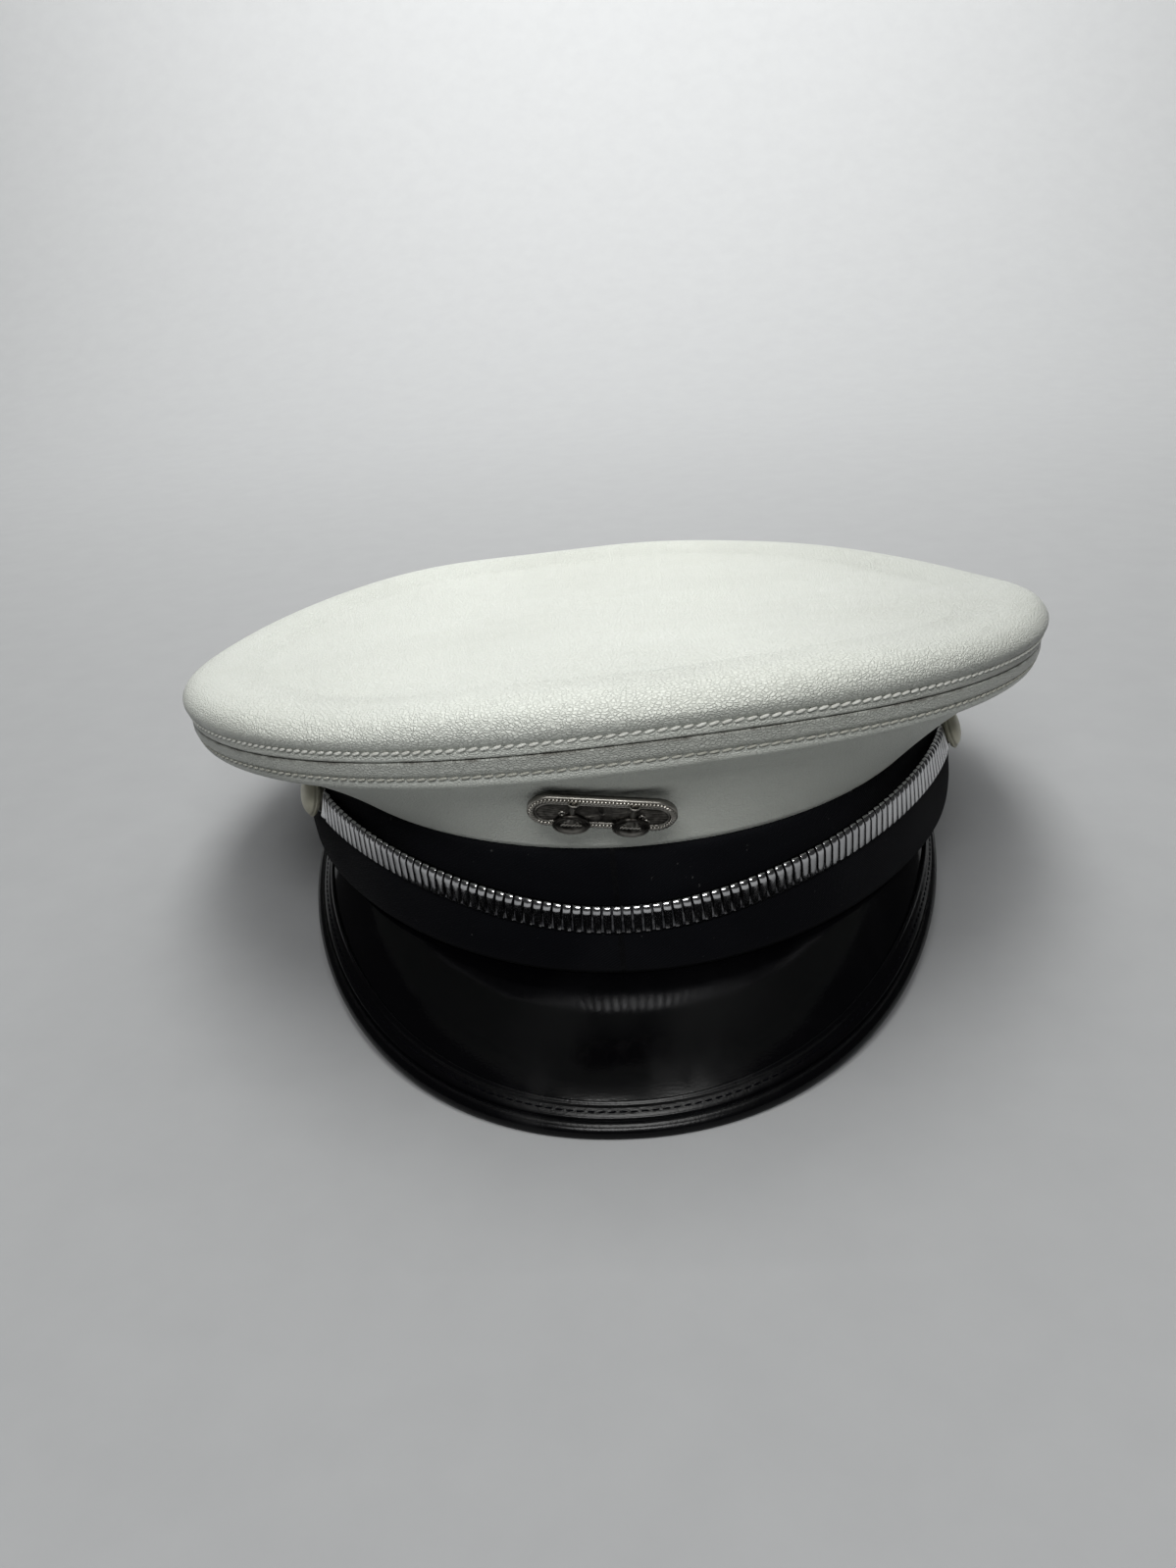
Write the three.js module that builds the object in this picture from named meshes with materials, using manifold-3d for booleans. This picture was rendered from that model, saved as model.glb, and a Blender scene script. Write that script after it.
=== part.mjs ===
// White-topped peaked cap: a stiffened crown of white grained vinyl on a black cloth band,
// a black patent peak with a bound edge, a ribbed metal strap on two side buttons and an oblong badge.
// Millimetres, +Z up. The cap stands on its peak and on the back of its band.
// The front faces -Y, and every angle runs round from the front towards +X.
import * as THREE from "three";
import { mergeVertices } from "three/addons/utils/BufferGeometryUtils.js";
import Module from "manifold-3d";

const wasm = await Module();
wasm.setup();

// Driving dimensions
const seatGap = 0.3;
const roundSteps = 60;
const tangentStep = 0.05;
const weldDistance = 1e-3;

const band = {
  backHeight: 40,
  frontTop: 45.3,
  frontBottom: 30.3,
  frontDip: 16.5,
  dipPower: 2.15,
  restY: 95,
  earBulge: 2.5,
  wall: 2.8,
  hemShare: 0.06,
  hemInset: 0.7,
};

// The band's outer face, one row for each edge.
const bandFoot = { halfWidth: 94.9, halfLength: 107, centreX: 2.9, centreY: 10.2 };
const bandHead = { halfWidth: 91.7, halfLength: 108.5, centreX: 1.7, centreY: 15.5 };

const crown = {
  wall: 2,
  centreX: 0.5,
  centreY: 13.1,
  panelDish: 1.5,
  lip: 7,
  footInset: 0.5,
  backTurn: 0.3,
  rollInset: 20,
  panelRings: [0.72, 0.38],
};

// The rim seam of the crown, one row for each section round it: how far out and how high it lies.
// The crown leans to the left, as a soft top does.
const rimSections = [
  { angle: 0, reach: 123.2, height: 78.2 },
  { angle: 30, reach: 123.3, height: 77.4 },
  { angle: 60, reach: 121.2, height: 69.7 },
  { angle: 90, reach: 120.5, height: 59.6 },
  { angle: 120, reach: 121.3, height: 51.7 },
  { angle: 150, reach: 121.2, height: 49.6 },
  { angle: 180, reach: 121.8, height: 47.0 },
  { angle: 210, reach: 122.0, height: 47.9 },
  { angle: 240, reach: 121.1, height: 49.1 },
  { angle: 270, reach: 121.6, height: 52.3 },
  { angle: 300, reach: 122.5, height: 61.1 },
  { angle: 330, reach: 122.1, height: 70.2 },
];

// The rolled edge above the seam, from the seam to the flat of the top panel.
const topRoll = [
  { inset: 0, rise: 0.15 },
  { inset: -0.8, rise: 2.5 },
  { inset: -1.4, rise: 4.6 },
  { inset: -0.2, rise: 7.2 },
  { inset: 3.2, rise: 9.2 },
  { inset: 8.5, rise: 9.8 },
];

// The turned edge below the seam, from the seam to where the side wall starts.
const sideRoll = [
  { inset: 0, rise: -0.15 },
  { inset: 0.1, rise: -3.6 },
  { inset: 1.6, rise: -6.6 },
  { inset: 5.2, rise: -8.4 },
];

const peak = {
  halfWidth: 89,
  centreX: 1.3,
  cornerY: 1.4,
  reach: 136.2,
  fullness: 0.953,
  cornerAngle: 85 * THREE.MathUtils.DEG2RAD,
  cornerHeight: 11,
  cornerCurl: 1.16,
  cornerTuck: 8,
  wall: 2.4,
  bulge: 1.2,
  steps: 40,
  depthSteps: 4,
};

const binding = { radius: 2.1, sides: 8, edgeHeight: 1.9 };

const strap = {
  width: 8,
  pitch: 2.3,
  backing: 0.9,
  crest: 1.7,
  crestShare: 0.72,
  turn: 6.5 * THREE.MathUtils.DEG2RAD,
  endAngle: 60 * THREE.MathUtils.DEG2RAD,
  frontShare: 0.47,
  sideShare: 0.78,
  sideEase: 0.6,
};

const strapEnd = {
  thickness: 1,
  width: 7.2,
  buttonAngle: 66 * THREE.MathUtils.DEG2RAD,
  gapAngle: 0.6 * THREE.MathUtils.DEG2RAD,
  tailAngle: 3 * THREE.MathUtils.DEG2RAD,
  steps: 6,
};

const button = { radius: 6.4, footRadius: 5.8, height: 3.4, edge: 0.9, sides: 16 };

const badge = {
  width: 32.6,
  height: 10.2,
  turn: -9 * THREE.MathUtils.DEG2RAD,
  thickness: 1.4,
  borderWidth: 2.2,
  borderRise: 1.2,
  angle: -0.6 * THREE.MathUtils.DEG2RAD,
  wallShare: 0.43,
  trumpetSpacing: 13,
  trumpetFlatten: 0.62,
  trumpetSides: 12,
};

// One trumpet of the badge, from its mouthpiece down to its bell.
const trumpetProfile = [
  { along: 4.6, radius: 1.6 },
  { along: 3.9, radius: 1.5 },
  { along: 2.8, radius: 0.8 },
  { along: 0, radius: 0.9 },
  { along: -2.6, radius: 1.3 },
  { along: -4.6, radius: 2.4 },
  { along: -6, radius: 3.6 },
  { along: -6.8, radius: 3.8 },
];

// Finishes
function finish(color, roughness, metalness = 0) {
  return new THREE.MeshStandardMaterial({ color, roughness, metalness });
}
const whiteVinyl = finish(0xe4e5de, 0.5);
const blackCloth = finish(0x0b0b0d, 0.95);
const blackPatent = finish(0x050506, 0.12);
const brightMetal = finish(0xc9cacc, 0.25, 1);
const agedMetal = finish(0x8f8c80, 0.35, 1);
const ivoryMetal = finish(0xb9b49c, 0.35, 1);

// Closed bodies

// Skins a row of closed outlines, all with the same number of points, into one closed body.
// A ring joins the last outline to the first. Otherwise both ends are capped.
function loft(outlines, ring) {
  const count = outlines[0].length;
  const points = outlines.flat();
  const faces = [];
  const addFace = (a, b, c) => {
    const [p, q, r] = [points[a], points[b], points[c]];
    const shortest = Math.min(p.distanceTo(q), q.distanceTo(r), r.distanceTo(p));
    if (shortest > weldDistance) faces.push(a, b, c);
  };
  const spans = ring ? outlines.length : outlines.length - 1;
  for (let i = 0; i < spans; i++) {
    const here = i * count;
    const next = ((i + 1) % outlines.length) * count;
    for (let j = 0; j < count; j++) {
      const k = (j + 1) % count;
      addFace(here + j, next + j, next + k);
      addFace(here + j, next + k, here + k);
    }
  }
  if (!ring) {
    const last = (outlines.length - 1) * count;
    for (let j = 0; j < count / 2 - 1; j++) {
      const far = count - 1 - j;
      addFace(j, j + 1, far);
      addFace(j + 1, far - 1, far);
      addFace(last + j, last + far, last + j + 1);
      addFace(last + j + 1, last + far, last + far - 1);
    }
  }
  const geometry = new THREE.BufferGeometry();
  geometry.setAttribute("position", new THREE.Float32BufferAttribute(points.flatMap((p) => p.toArray()), 3));
  geometry.setIndex(faces);
  return outward(mergeVertices(geometry, weldDistance));
}

// Turns a closed body's faces outwards by the sign of its volume.
function outward(geometry) {
  const place = geometry.attributes.position;
  const index = geometry.index.array;
  const corner = (i) => new THREE.Vector3().fromBufferAttribute(place, index[i]);
  let volume = 0;
  for (let i = 0; i < index.length; i += 3) {
    volume += corner(i).dot(corner(i + 1).cross(corner(i + 2)));
  }
  if (volume < 0) {
    for (let i = 0; i < index.length; i += 3) {
      [index[i + 1], index[i + 2]] = [index[i + 2], index[i + 1]];
    }
  }
  return geometry;
}

function bareGeometry(geometry) {
  const bare = geometry.clone();
  bare.deleteAttribute("normal");
  bare.deleteAttribute("uv");
  return outward(mergeVertices(bare, weldDistance));
}

function toSolid(geometry) {
  const bare = bareGeometry(geometry);
  return new wasm.Manifold(new wasm.Mesh({
    numProp: 3,
    vertProperties: new Float32Array(bare.attributes.position.array),
    triVerts: new Uint32Array(bare.index.array),
  }));
}

function fromSolid(solid) {
  const mesh = solid.getMesh();
  const geometry = new THREE.BufferGeometry();
  geometry.setAttribute("position", new THREE.Float32BufferAttribute(mesh.vertProperties, 3));
  geometry.setIndex([...mesh.triVerts]);
  return geometry;
}

function named(name, geometry, material) {
  const mesh = new THREE.Mesh(geometry, material);
  mesh.name = name;
  return mesh;
}

function anglesRound(steps) {
  return Array.from({ length: steps }, (_, i) => (i / steps) * 2 * Math.PI);
}

function evenSteps(first, last, steps) {
  return Array.from({ length: steps + 1 }, (_, i) => first + ((last - first) * i) / steps);
}

// Band: a cloth wall that leans back, because the peak lifts its front.
// Its lower edge lifts towards the front and dips there, where the peak is sewn on.
function bandBottom(y) {
  const frontY = bandFoot.centreY - bandFoot.halfLength;
  const lift = Math.max(0, (band.frontBottom * (band.restY - y)) / (band.restY - frontY));
  const forward = Math.max(0, (bandFoot.centreY - y) / bandFoot.halfLength);
  return lift - band.frontDip * forward ** band.dipPower;
}

function bandTop(y) {
  const along = (y - bandHead.centreY + bandHead.halfLength) / (2 * bandHead.halfLength);
  return THREE.MathUtils.lerp(band.frontTop, band.backHeight, along ** 2);
}

// A point of the band's outer face by angle and share of its height, moved outwards by outset.
// The cloth stands out a little at the ears.
function bandPoint(angle, share, outset) {
  const edgePoint = (edge, height) => {
    const x = edge.centreX + (edge.halfWidth + outset) * Math.sin(angle);
    const y = edge.centreY - (edge.halfLength + outset) * Math.cos(angle);
    return new THREE.Vector3(x, y, height(y));
  };
  const point = edgePoint(bandFoot, bandBottom).lerp(edgePoint(bandHead, bandTop), share);
  const sine = Math.sin(angle);
  point.x += band.earBulge * 4 * share * (1 - share) * sine * Math.abs(sine);
  return point;
}

function bandRise(angle) {
  return bandPoint(angle, 1, 0).distanceTo(bandPoint(angle, 0, 0));
}

function bandGeometry() {
  const lipShare = 1 - crown.lip / band.backHeight;
  const outlines = anglesRound(roundSteps).map((angle) => [
    bandPoint(angle, 0, -band.hemInset),
    bandPoint(angle, band.hemShare, 0),
    bandPoint(angle, 0.5, 0),
    bandPoint(angle, lipShare, 0),
    bandPoint(angle, 1 - band.hemShare, 0),
    bandPoint(angle, 1, -band.hemInset),
    bandPoint(angle, 1, -band.wall),
    bandPoint(angle, lipShare, -band.wall),
    bandPoint(angle, 0.5, -band.wall),
    bandPoint(angle, 0, -band.wall),
  ]);
  return loft(outlines, true);
}

// Crown: the rim seam is a closed curve through its sections.
function aroundRim(column) {
  const rows = rimSections.map((row) => row[column]);
  return (angle) => {
    const turns = ((angle / (2 * Math.PI)) % 1 + 1) % 1;
    const at = turns * rows.length;
    const i = Math.floor(at);
    const pick = (k) => rows[(i + k + rows.length) % rows.length];
    const f = at - i;
    const [a, b, c, d] = [pick(-1), pick(0), pick(1), pick(2)];
    return b + 0.5 * f * (c - a + f * (2 * a - 5 * b + 4 * c - d + f * (3 * (b - c) + d - a)));
  };
}

const rimReach = aroundRim("reach");
const rimHeight = aroundRim("height");

const panelTilt = (rimHeight(0) - rimHeight(Math.PI)) / 2;
const panelLean = (rimHeight(Math.PI / 2) - rimHeight(-Math.PI / 2)) / 2;
const quarterAngles = [0, 0.5, 1, 1.5].map((turn) => turn * Math.PI);
const panelCentreHeight = quarterAngles.reduce((sum, angle) => sum + rimHeight(angle), 0) / 4;

function rimPoint(angle, inset, rise) {
  const reach = rimReach(angle) - inset;
  const x = crown.centreX + reach * Math.sin(angle);
  const y = crown.centreY - reach * Math.cos(angle);
  return new THREE.Vector3(x, y, rimHeight(angle) + rise);
}

// The taut top panel inside the roll, by share of the way out from its centre.
function panelPoint(angle, share, drop) {
  const reach = (rimReach(angle) - crown.rollInset) * share;
  const slope = panelTilt * Math.cos(angle) + panelLean * Math.sin(angle);
  const warp = rimHeight(angle) - panelCentreHeight - slope;
  const level = topRoll.at(-1).rise - crown.panelDish;
  const x = crown.centreX + reach * Math.sin(angle);
  const y = crown.centreY - reach * Math.cos(angle);
  const z = panelCentreHeight + slope * share + warp * share * share + level - drop;
  return new THREE.Vector3(x, y, z);
}

// The same roll moved in by the thickness of the wall.
function insideOf(roll, wall) {
  return roll.map((row, i) => {
    const before = roll[Math.max(i - 1, 0)];
    const after = roll[Math.min(i + 1, roll.length - 1)];
    const along = new THREE.Vector2(after.inset - before.inset, after.rise - before.rise).normalize();
    const towards = Math.sign(roll.at(-1).rise);
    return { inset: row.inset + towards * along.y * wall, rise: row.rise - towards * along.x * wall };
  });
}

function crownTopGeometry() {
  const inner = insideOf(topRoll, crown.wall);
  inner[0].rise = topRoll[0].rise;
  const shares = [1, ...crown.panelRings, 0];
  const outlines = anglesRound(roundSteps).map((angle) => [
    ...topRoll.map((row) => rimPoint(angle, row.inset, row.rise)),
    ...shares.map((share) => panelPoint(angle, share, 0)),
    ...shares.toReversed().map((share) => panelPoint(angle, share, crown.wall)),
    ...inner.toReversed().map((row) => rimPoint(angle, row.inset, row.rise)),
  ]);
  return loft(outlines, true);
}

// The side wall runs from its roll down to a lip that is sewn inside the top of the band.
function lipPoint(angle, depth, inset) {
  return bandPoint(angle, 1 - depth / band.backHeight, -band.wall - seatGap - inset);
}

// Where the wall leaves the band: its outer face is flush with the cloth and stands just above it.
function wallFoot(angle, inset) {
  const foot = bandPoint(angle, 1, -inset);
  foot.z += seatGap;
  return foot;
}

// The turned edge hangs full at the front and shallow at the back.
function sideRollPoint(angle, row) {
  const turned = THREE.MathUtils.lerp(crown.backTurn, 1, (1 + Math.cos(angle)) / 2);
  return rimPoint(angle, row.inset, row.rise * turned);
}

function wallTop(angle) {
  return sideRollPoint(angle, sideRoll.at(-1));
}

function crownSideGeometry() {
  const inner = insideOf(sideRoll, crown.wall);
  inner[0].rise = sideRoll[0].rise;
  const outlines = anglesRound(roundSteps).map((angle) => {
    const foot = wallFoot(angle, crown.footInset);
    const innerTop = sideRollPoint(angle, inner.at(-1));
    const innerFoot = lipPoint(angle, 0, crown.wall);
    innerFoot.z += crown.wall;
    return [
      ...sideRoll.map((row) => sideRollPoint(angle, row)),
      wallTop(angle).lerp(foot, 0.5),
      foot,
      wallFoot(angle, band.wall + seatGap),
      lipPoint(angle, crown.lip, 0),
      lipPoint(angle, crown.lip, crown.wall),
      innerFoot,
      innerTop.clone().lerp(innerFoot, 0.5),
      ...inner.toReversed().map((row) => sideRollPoint(angle, row)),
    ];
  });
  return loft(outlines, true);
}

// Peak: a curved sheet from under the band's front edge down to its bound outer edge.
// side runs from -1 at the left corner to 1 at the right one, depth from 0 at the band to 1 at the edge.
function peakPoint(side, depth) {
  const inner = bandPoint(side * peak.cornerAngle, 0, -band.wall - peak.cornerTuck * side ** 4);
  inner.z -= seatGap;
  const turn = (side * Math.PI) / 2;
  const spread = Math.sign(turn) * Math.abs(Math.sin(turn)) ** peak.fullness;
  const outer = new THREE.Vector3(
    peak.centreX + peak.halfWidth * spread,
    peak.cornerY - peak.reach * Math.cos(turn),
    binding.edgeHeight + peak.cornerHeight * (1 - Math.cos(turn)) ** peak.cornerCurl,
  );
  const point = inner.lerp(outer, depth);
  point.z += peak.bulge * 4 * depth * (1 - depth) * (1 - side ** 2);
  return point;
}

function peakFrame(side, depth) {
  const step = 0.01;
  const across = peakPoint(side + step, depth).sub(peakPoint(side - step, depth)).normalize();
  const out = peakPoint(side, depth + step).sub(peakPoint(side, depth - step)).normalize();
  const up = new THREE.Vector3().crossVectors(out, across).normalize();
  if (up.z < 0) up.negate();
  return { point: peakPoint(side, depth), out, up };
}

const peakSides = evenSteps(-1, 1, peak.steps);

function peakGeometry() {
  const outlines = peakSides.map((side) => {
    const { point, out, up } = peakFrame(side, 1);
    const setback = binding.radius + seatGap;
    const edgeDepth = 1 - setback / peakPoint(side, 0).distanceTo(peakPoint(side, 1));
    const rows = evenSteps(0, edgeDepth, peak.depthSteps).map((depth) => peakFrame(side, depth));
    rows[rows.length - 1] = { point: point.addScaledVector(out, -setback), up };
    const upper = rows.map((row) => row.point);
    const lower = rows.map((row) => row.point.clone().addScaledVector(row.up, -peak.wall));
    return [...upper, ...lower.toReversed()];
  });
  return loft(outlines, false);
}

// The binding is a bead round the peak's outer edge, flattened where it stands.
function bindingGeometry() {
  const outlines = peakSides.map((side) => {
    const { point, out, up } = peakFrame(side, 1);
    const centre = point.addScaledVector(up, -peak.wall / 2);
    return anglesRound(binding.sides).map((angle) => {
      const turn = angle + Math.PI / binding.sides;
      const corner = centre.clone()
        .addScaledVector(out, binding.radius * Math.cos(turn))
        .addScaledVector(up, binding.radius * Math.sin(turn));
      corner.z = Math.max(corner.z, 0);
      return corner;
    });
  });
  return loft(outlines, false);
}

// Strap: a ribbed metal band across the front, lying on the cloth.
function strapShare(angle) {
  const sine = Math.sin(angle) ** 2;
  const sideways = (sine * (1 + strap.sideEase)) / (sine + strap.sideEase);
  return THREE.MathUtils.lerp(strap.frontShare, strap.sideShare, sideways);
}

function strapOutline(angle, width, thickness) {
  const half = width / 2 / bandRise(angle);
  const middle = strapShare(angle);
  return [
    bandPoint(angle, middle + half, seatGap + thickness),
    bandPoint(angle, middle - half, seatGap + thickness),
    bandPoint(angle, middle - half, seatGap),
    bandPoint(angle, middle + half, seatGap),
  ];
}

function strapGeometry() {
  const arc = strap.endAngle * (bandFoot.halfWidth + bandFoot.halfLength);
  const ribs = Math.round(arc / strap.pitch);
  const step = (2 * strap.endAngle) / ribs;
  const outlines = [];
  for (let i = 0; i < ribs; i++) {
    const start = strap.turn - strap.endAngle + i * step;
    outlines.push(strapOutline(start, strap.width, strap.crest));
    outlines.push(strapOutline(start + step * strap.crestShare, strap.width, strap.crest));
    outlines.push(strapOutline(start + step * (1 + strap.crestShare) / 2, strap.width, strap.backing));
  }
  return loft(outlines, false);
}

// Each end of the strap is a plain tab that runs under its button.
function strapEndGeometry(side) {
  const first = strap.turn + side * (strap.endAngle + strapEnd.gapAngle);
  const last = strap.turn + side * (strapEnd.buttonAngle + strapEnd.tailAngle);
  const angles = evenSteps(first, last, strapEnd.steps);
  return loft(angles.map((angle) => strapOutline(angle, strapEnd.width, strapEnd.thickness)), false);
}

// Side button: a low dome that stands on the strap's tab.
function buttonGeometry() {
  const dome = evenSteps(0, Math.PI / 2, 5).map((angle) => new THREE.Vector2(
    button.radius * Math.cos(angle),
    button.edge + (button.height - button.edge) * Math.sin(angle),
  ));
  dome[dome.length - 1].x = 0;
  const profile = [new THREE.Vector2(0, 0), new THREE.Vector2(button.footRadius, 0), ...dome];
  return bareGeometry(new THREE.LatheGeometry(profile, button.sides));
}

function placeButton(mesh, side) {
  const angle = strap.turn + side * strapEnd.buttonAngle;
  const stand = 2 * seatGap + strapEnd.thickness;
  const share = strapShare(angle);
  const foot = bandPoint(angle, share, stand);
  const rise = bandPoint(angle, share + tangentStep, 0).sub(bandPoint(angle, share - tangentStep, 0));
  const along = bandPoint(angle + tangentStep, share, 0).sub(bandPoint(angle - tangentStep, share, 0));
  const out = new THREE.Vector3().crossVectors(along, rise).normalize();
  mesh.position.copy(foot);
  mesh.quaternion.setFromUnitVectors(new THREE.Vector3(0, 1, 0), out);
  return mesh;
}

// Badge: a round-ended plate with a raised border and two trumpets, all soldered into one piece.
function trumpetSolid(x) {
  const profile = trumpetProfile.map((row) => new THREE.Vector2(row.radius, row.along));
  profile.unshift(new THREE.Vector2(0, trumpetProfile[0].along));
  profile.push(new THREE.Vector2(0, trumpetProfile.at(-1).along));
  const horn = new THREE.LatheGeometry(profile.toReversed(), badge.trumpetSides);
  horn.scale(1, 1, badge.trumpetFlatten);
  horn.translate(x, 0, badge.thickness);
  return toSolid(horn);
}

// A round-ended outline, drawn in from the badge's edge by inset.
function badgeOutline(inset) {
  const radius = badge.height / 2 - inset;
  const reach = (badge.width - badge.height) / 2;
  const outline = new THREE.Shape();
  outline.absarc(reach, 0, radius, -Math.PI / 2, Math.PI / 2);
  outline.absarc(-reach, 0, radius, Math.PI / 2, (3 * Math.PI) / 2);
  outline.closePath();
  return outline;
}

function badgeSlab(outline, depth) {
  return toSolid(new THREE.ExtrudeGeometry(outline, { depth, bevelEnabled: false, curveSegments: 10 }));
}

function badgeGeometry() {
  const rim = badgeOutline(0);
  rim.holes.push(badgeOutline(badge.borderWidth));
  const clearBack = new THREE.BoxGeometry(4 * badge.width, 4 * badge.width, 4 * badge.width);
  clearBack.translate(0, 0, -2 * badge.width);
  const solid = badgeSlab(badgeOutline(0), badge.thickness)
    .add(badgeSlab(rim, badge.thickness + badge.borderRise))
    .add(trumpetSolid(-badge.trumpetSpacing / 2))
    .add(trumpetSolid(badge.trumpetSpacing / 2))
    .subtract(toSolid(clearBack));
  return fromSolid(solid);
}

function placeBadge(mesh) {
  const wallAt = (angle) => wallTop(angle).lerp(wallFoot(angle, crown.footInset), badge.wallShare);
  const up = wallTop(badge.angle).sub(wallFoot(badge.angle, crown.footInset)).normalize();
  const right = wallAt(badge.angle + tangentStep).sub(wallAt(badge.angle - tangentStep)).normalize();
  const out = new THREE.Vector3().crossVectors(right, up).normalize();
  const across = new THREE.Vector3().crossVectors(up, out);
  mesh.quaternion.setFromRotationMatrix(new THREE.Matrix4().makeBasis(across, up, out));
  mesh.rotateZ(badge.turn);
  mesh.position.copy(wallAt(badge.angle)).addScaledVector(out, seatGap);
  return mesh;
}

// The cap
const cap = new THREE.Group();
cap.add(named("crown_top", crownTopGeometry(), whiteVinyl));
cap.add(named("crown_side", crownSideGeometry(), whiteVinyl));
cap.add(named("band", bandGeometry(), blackCloth));
cap.add(named("peak", peakGeometry(), blackPatent));
cap.add(named("peak_binding", bindingGeometry(), blackPatent));
cap.add(named("strap", strapGeometry(), brightMetal));
for (const [word, side] of [["left", -1], ["right", 1]]) {
  cap.add(named(`strap_end_${word}`, strapEndGeometry(side), brightMetal));
  cap.add(placeButton(named(`side_button_${word}`, buttonGeometry(), ivoryMetal), side));
}
cap.add(placeBadge(named("badge", badgeGeometry(), agedMetal)));

export default cap;
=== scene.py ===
import math

import bmesh
import bpy
import numpy as np
from mathutils import Matrix, Vector


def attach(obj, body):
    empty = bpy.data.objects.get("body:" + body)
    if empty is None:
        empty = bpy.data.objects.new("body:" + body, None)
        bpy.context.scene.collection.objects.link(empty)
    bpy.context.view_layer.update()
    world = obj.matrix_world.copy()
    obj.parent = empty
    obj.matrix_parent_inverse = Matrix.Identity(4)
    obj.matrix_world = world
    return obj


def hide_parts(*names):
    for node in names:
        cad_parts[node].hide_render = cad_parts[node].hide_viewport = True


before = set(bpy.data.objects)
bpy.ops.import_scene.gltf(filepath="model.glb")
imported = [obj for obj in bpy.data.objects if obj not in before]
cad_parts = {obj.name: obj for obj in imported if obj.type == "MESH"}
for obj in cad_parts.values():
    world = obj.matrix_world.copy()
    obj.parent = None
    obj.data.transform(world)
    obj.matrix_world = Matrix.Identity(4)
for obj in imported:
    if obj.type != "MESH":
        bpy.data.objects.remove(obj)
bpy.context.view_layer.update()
print("frame loaded:", len(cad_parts), "nodes")

mm = 0.001
fullTurn = 2 * math.pi


# small tools for meshes
def evenTurns(count):  # angles round a whole turn
    return np.arange(count) * fullTurn / count


def bell(value, middle, width):  # 1 at the middle, fading out over the width
    return np.exp(-((value - middle) / width) ** 2)


def ramp(value, low, high):  # 0 up to low, 1 from high on
    return np.clip((value - low) / (high - low), 0, 1)


def unit(vectors):
    vectors = np.asarray(vectors, float)
    return vectors / np.linalg.norm(vectors, axis=-1, keepdims=True)


def curveThrough(rows, count, perSpan=24):  # smooth line through a table's rows, evenly spaced
    rows = np.array(rows, float)
    ends = np.vstack([2 * rows[0] - rows[1], rows, 2 * rows[-1] - rows[-2]])
    t = np.linspace(0, 1, perSpan, endpoint=False)[:, None]
    fine = []
    for i in range(len(rows) - 1):
        a, b, c, d = ends[i:i + 4]
        fine.append(0.5 * (2 * b + (c - a) * t + (2 * a - 5 * b + 4 * c - d) * t**2
                           + (3 * b - a - 3 * c + d) * t**3))
    fine = np.vstack(fine + [rows[-1:]])
    run = np.r_[0, np.cumsum(np.linalg.norm(np.diff(fine, axis=0), axis=1))]
    want = np.linspace(0, run[-1], count)
    return np.column_stack([np.interp(want, run, fine[:, k]) for k in range(fine.shape[1])])


def softNoise(x, y, size, seed, waves=14):  # smooth random swells about size across, mostly -1 to 1
    draw = np.random.default_rng(seed)
    total = np.zeros(np.broadcast(x, y).shape)
    for _ in range(waves):
        turn, phase = draw.uniform(0, fullTurn, 2)
        wave = draw.uniform(0.6, 1.5) * fullTurn / size
        total += np.sin(wave * (x * math.cos(turn) + y * math.sin(turn)) + phase)
    return total / 5


def makeObject(name, points, faces, material, attributes=None, uv=None, smooth=True):
    mesh = bpy.data.meshes.new(name)
    mesh.from_pydata((np.asarray(points, float) * mm).tolist(), [], faces)
    shape = bmesh.new()
    shape.from_mesh(mesh)
    bmesh.ops.recalc_face_normals(shape, faces=shape.faces)
    shape.to_mesh(mesh)
    shape.free()
    mesh.polygons.foreach_set("use_smooth", [smooth] * len(mesh.polygons))
    for key, values in (attributes or {}).items():
        layer = mesh.attributes.new(key, "FLOAT", "POINT")
        layer.data.foreach_set("value", np.asarray(values, float).ravel())
    if uv is not None:
        layer = mesh.uv_layers.new(name="run")
        corner = np.empty(len(mesh.loops), int)
        mesh.loops.foreach_get("vertex_index", corner)
        layer.data.foreach_set("uv", np.asarray(uv, float).reshape(-1, 2)[corner].ravel())
    mesh.materials.append(material)
    mesh.update()
    piece = bpy.data.objects.new(name, mesh)
    bpy.context.collection.objects.link(piece)
    return piece


def ringFaces(rows, columns, loopRows, loopColumns):  # quads of a grid of points
    faces = []
    for r in range(rows if loopRows else rows - 1):
        for c in range(columns if loopColumns else columns - 1):
            r2, c2 = (r + 1) % rows, (c + 1) % columns
            faces.append((r * columns + c, r * columns + c2, r2 * columns + c2, r2 * columns + c))
    return faces


def domeMesh(grid, top, bottom):  # rows of rings with a pole point at both ends
    rows, columns = grid.shape[:2]
    points = np.vstack([grid.reshape(-1, 3), top, bottom])
    faces = ringFaces(rows, columns, False, True)
    last = (rows - 1) * columns
    for c in range(columns):
        c2 = (c + 1) % columns
        faces.append((rows * columns, c2, c))
        faces.append((rows * columns + 1, last + c, last + c2))
    return points, faces


def barMesh(grid):  # closed loops, one for each section, capped at both ends
    sections, loop = grid.shape[:2]
    faces = ringFaces(sections, loop, False, True)
    faces.append(tuple(range(loop))[::-1])
    faces.append(tuple((sections - 1) * loop + r for r in range(loop)))
    return grid.reshape(-1, 3), faces


def latheMesh(profile, segments):  # radius and height round the z axis, poles at both ends
    turns = evenTurns(segments)
    rows = [[(r * math.cos(t), r * math.sin(t), h) for t in turns] for r, h in profile[1:-1]]
    return domeMesh(np.array(rows), (0, 0, profile[0][1]), (0, 0, profile[-1][1]))


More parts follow.
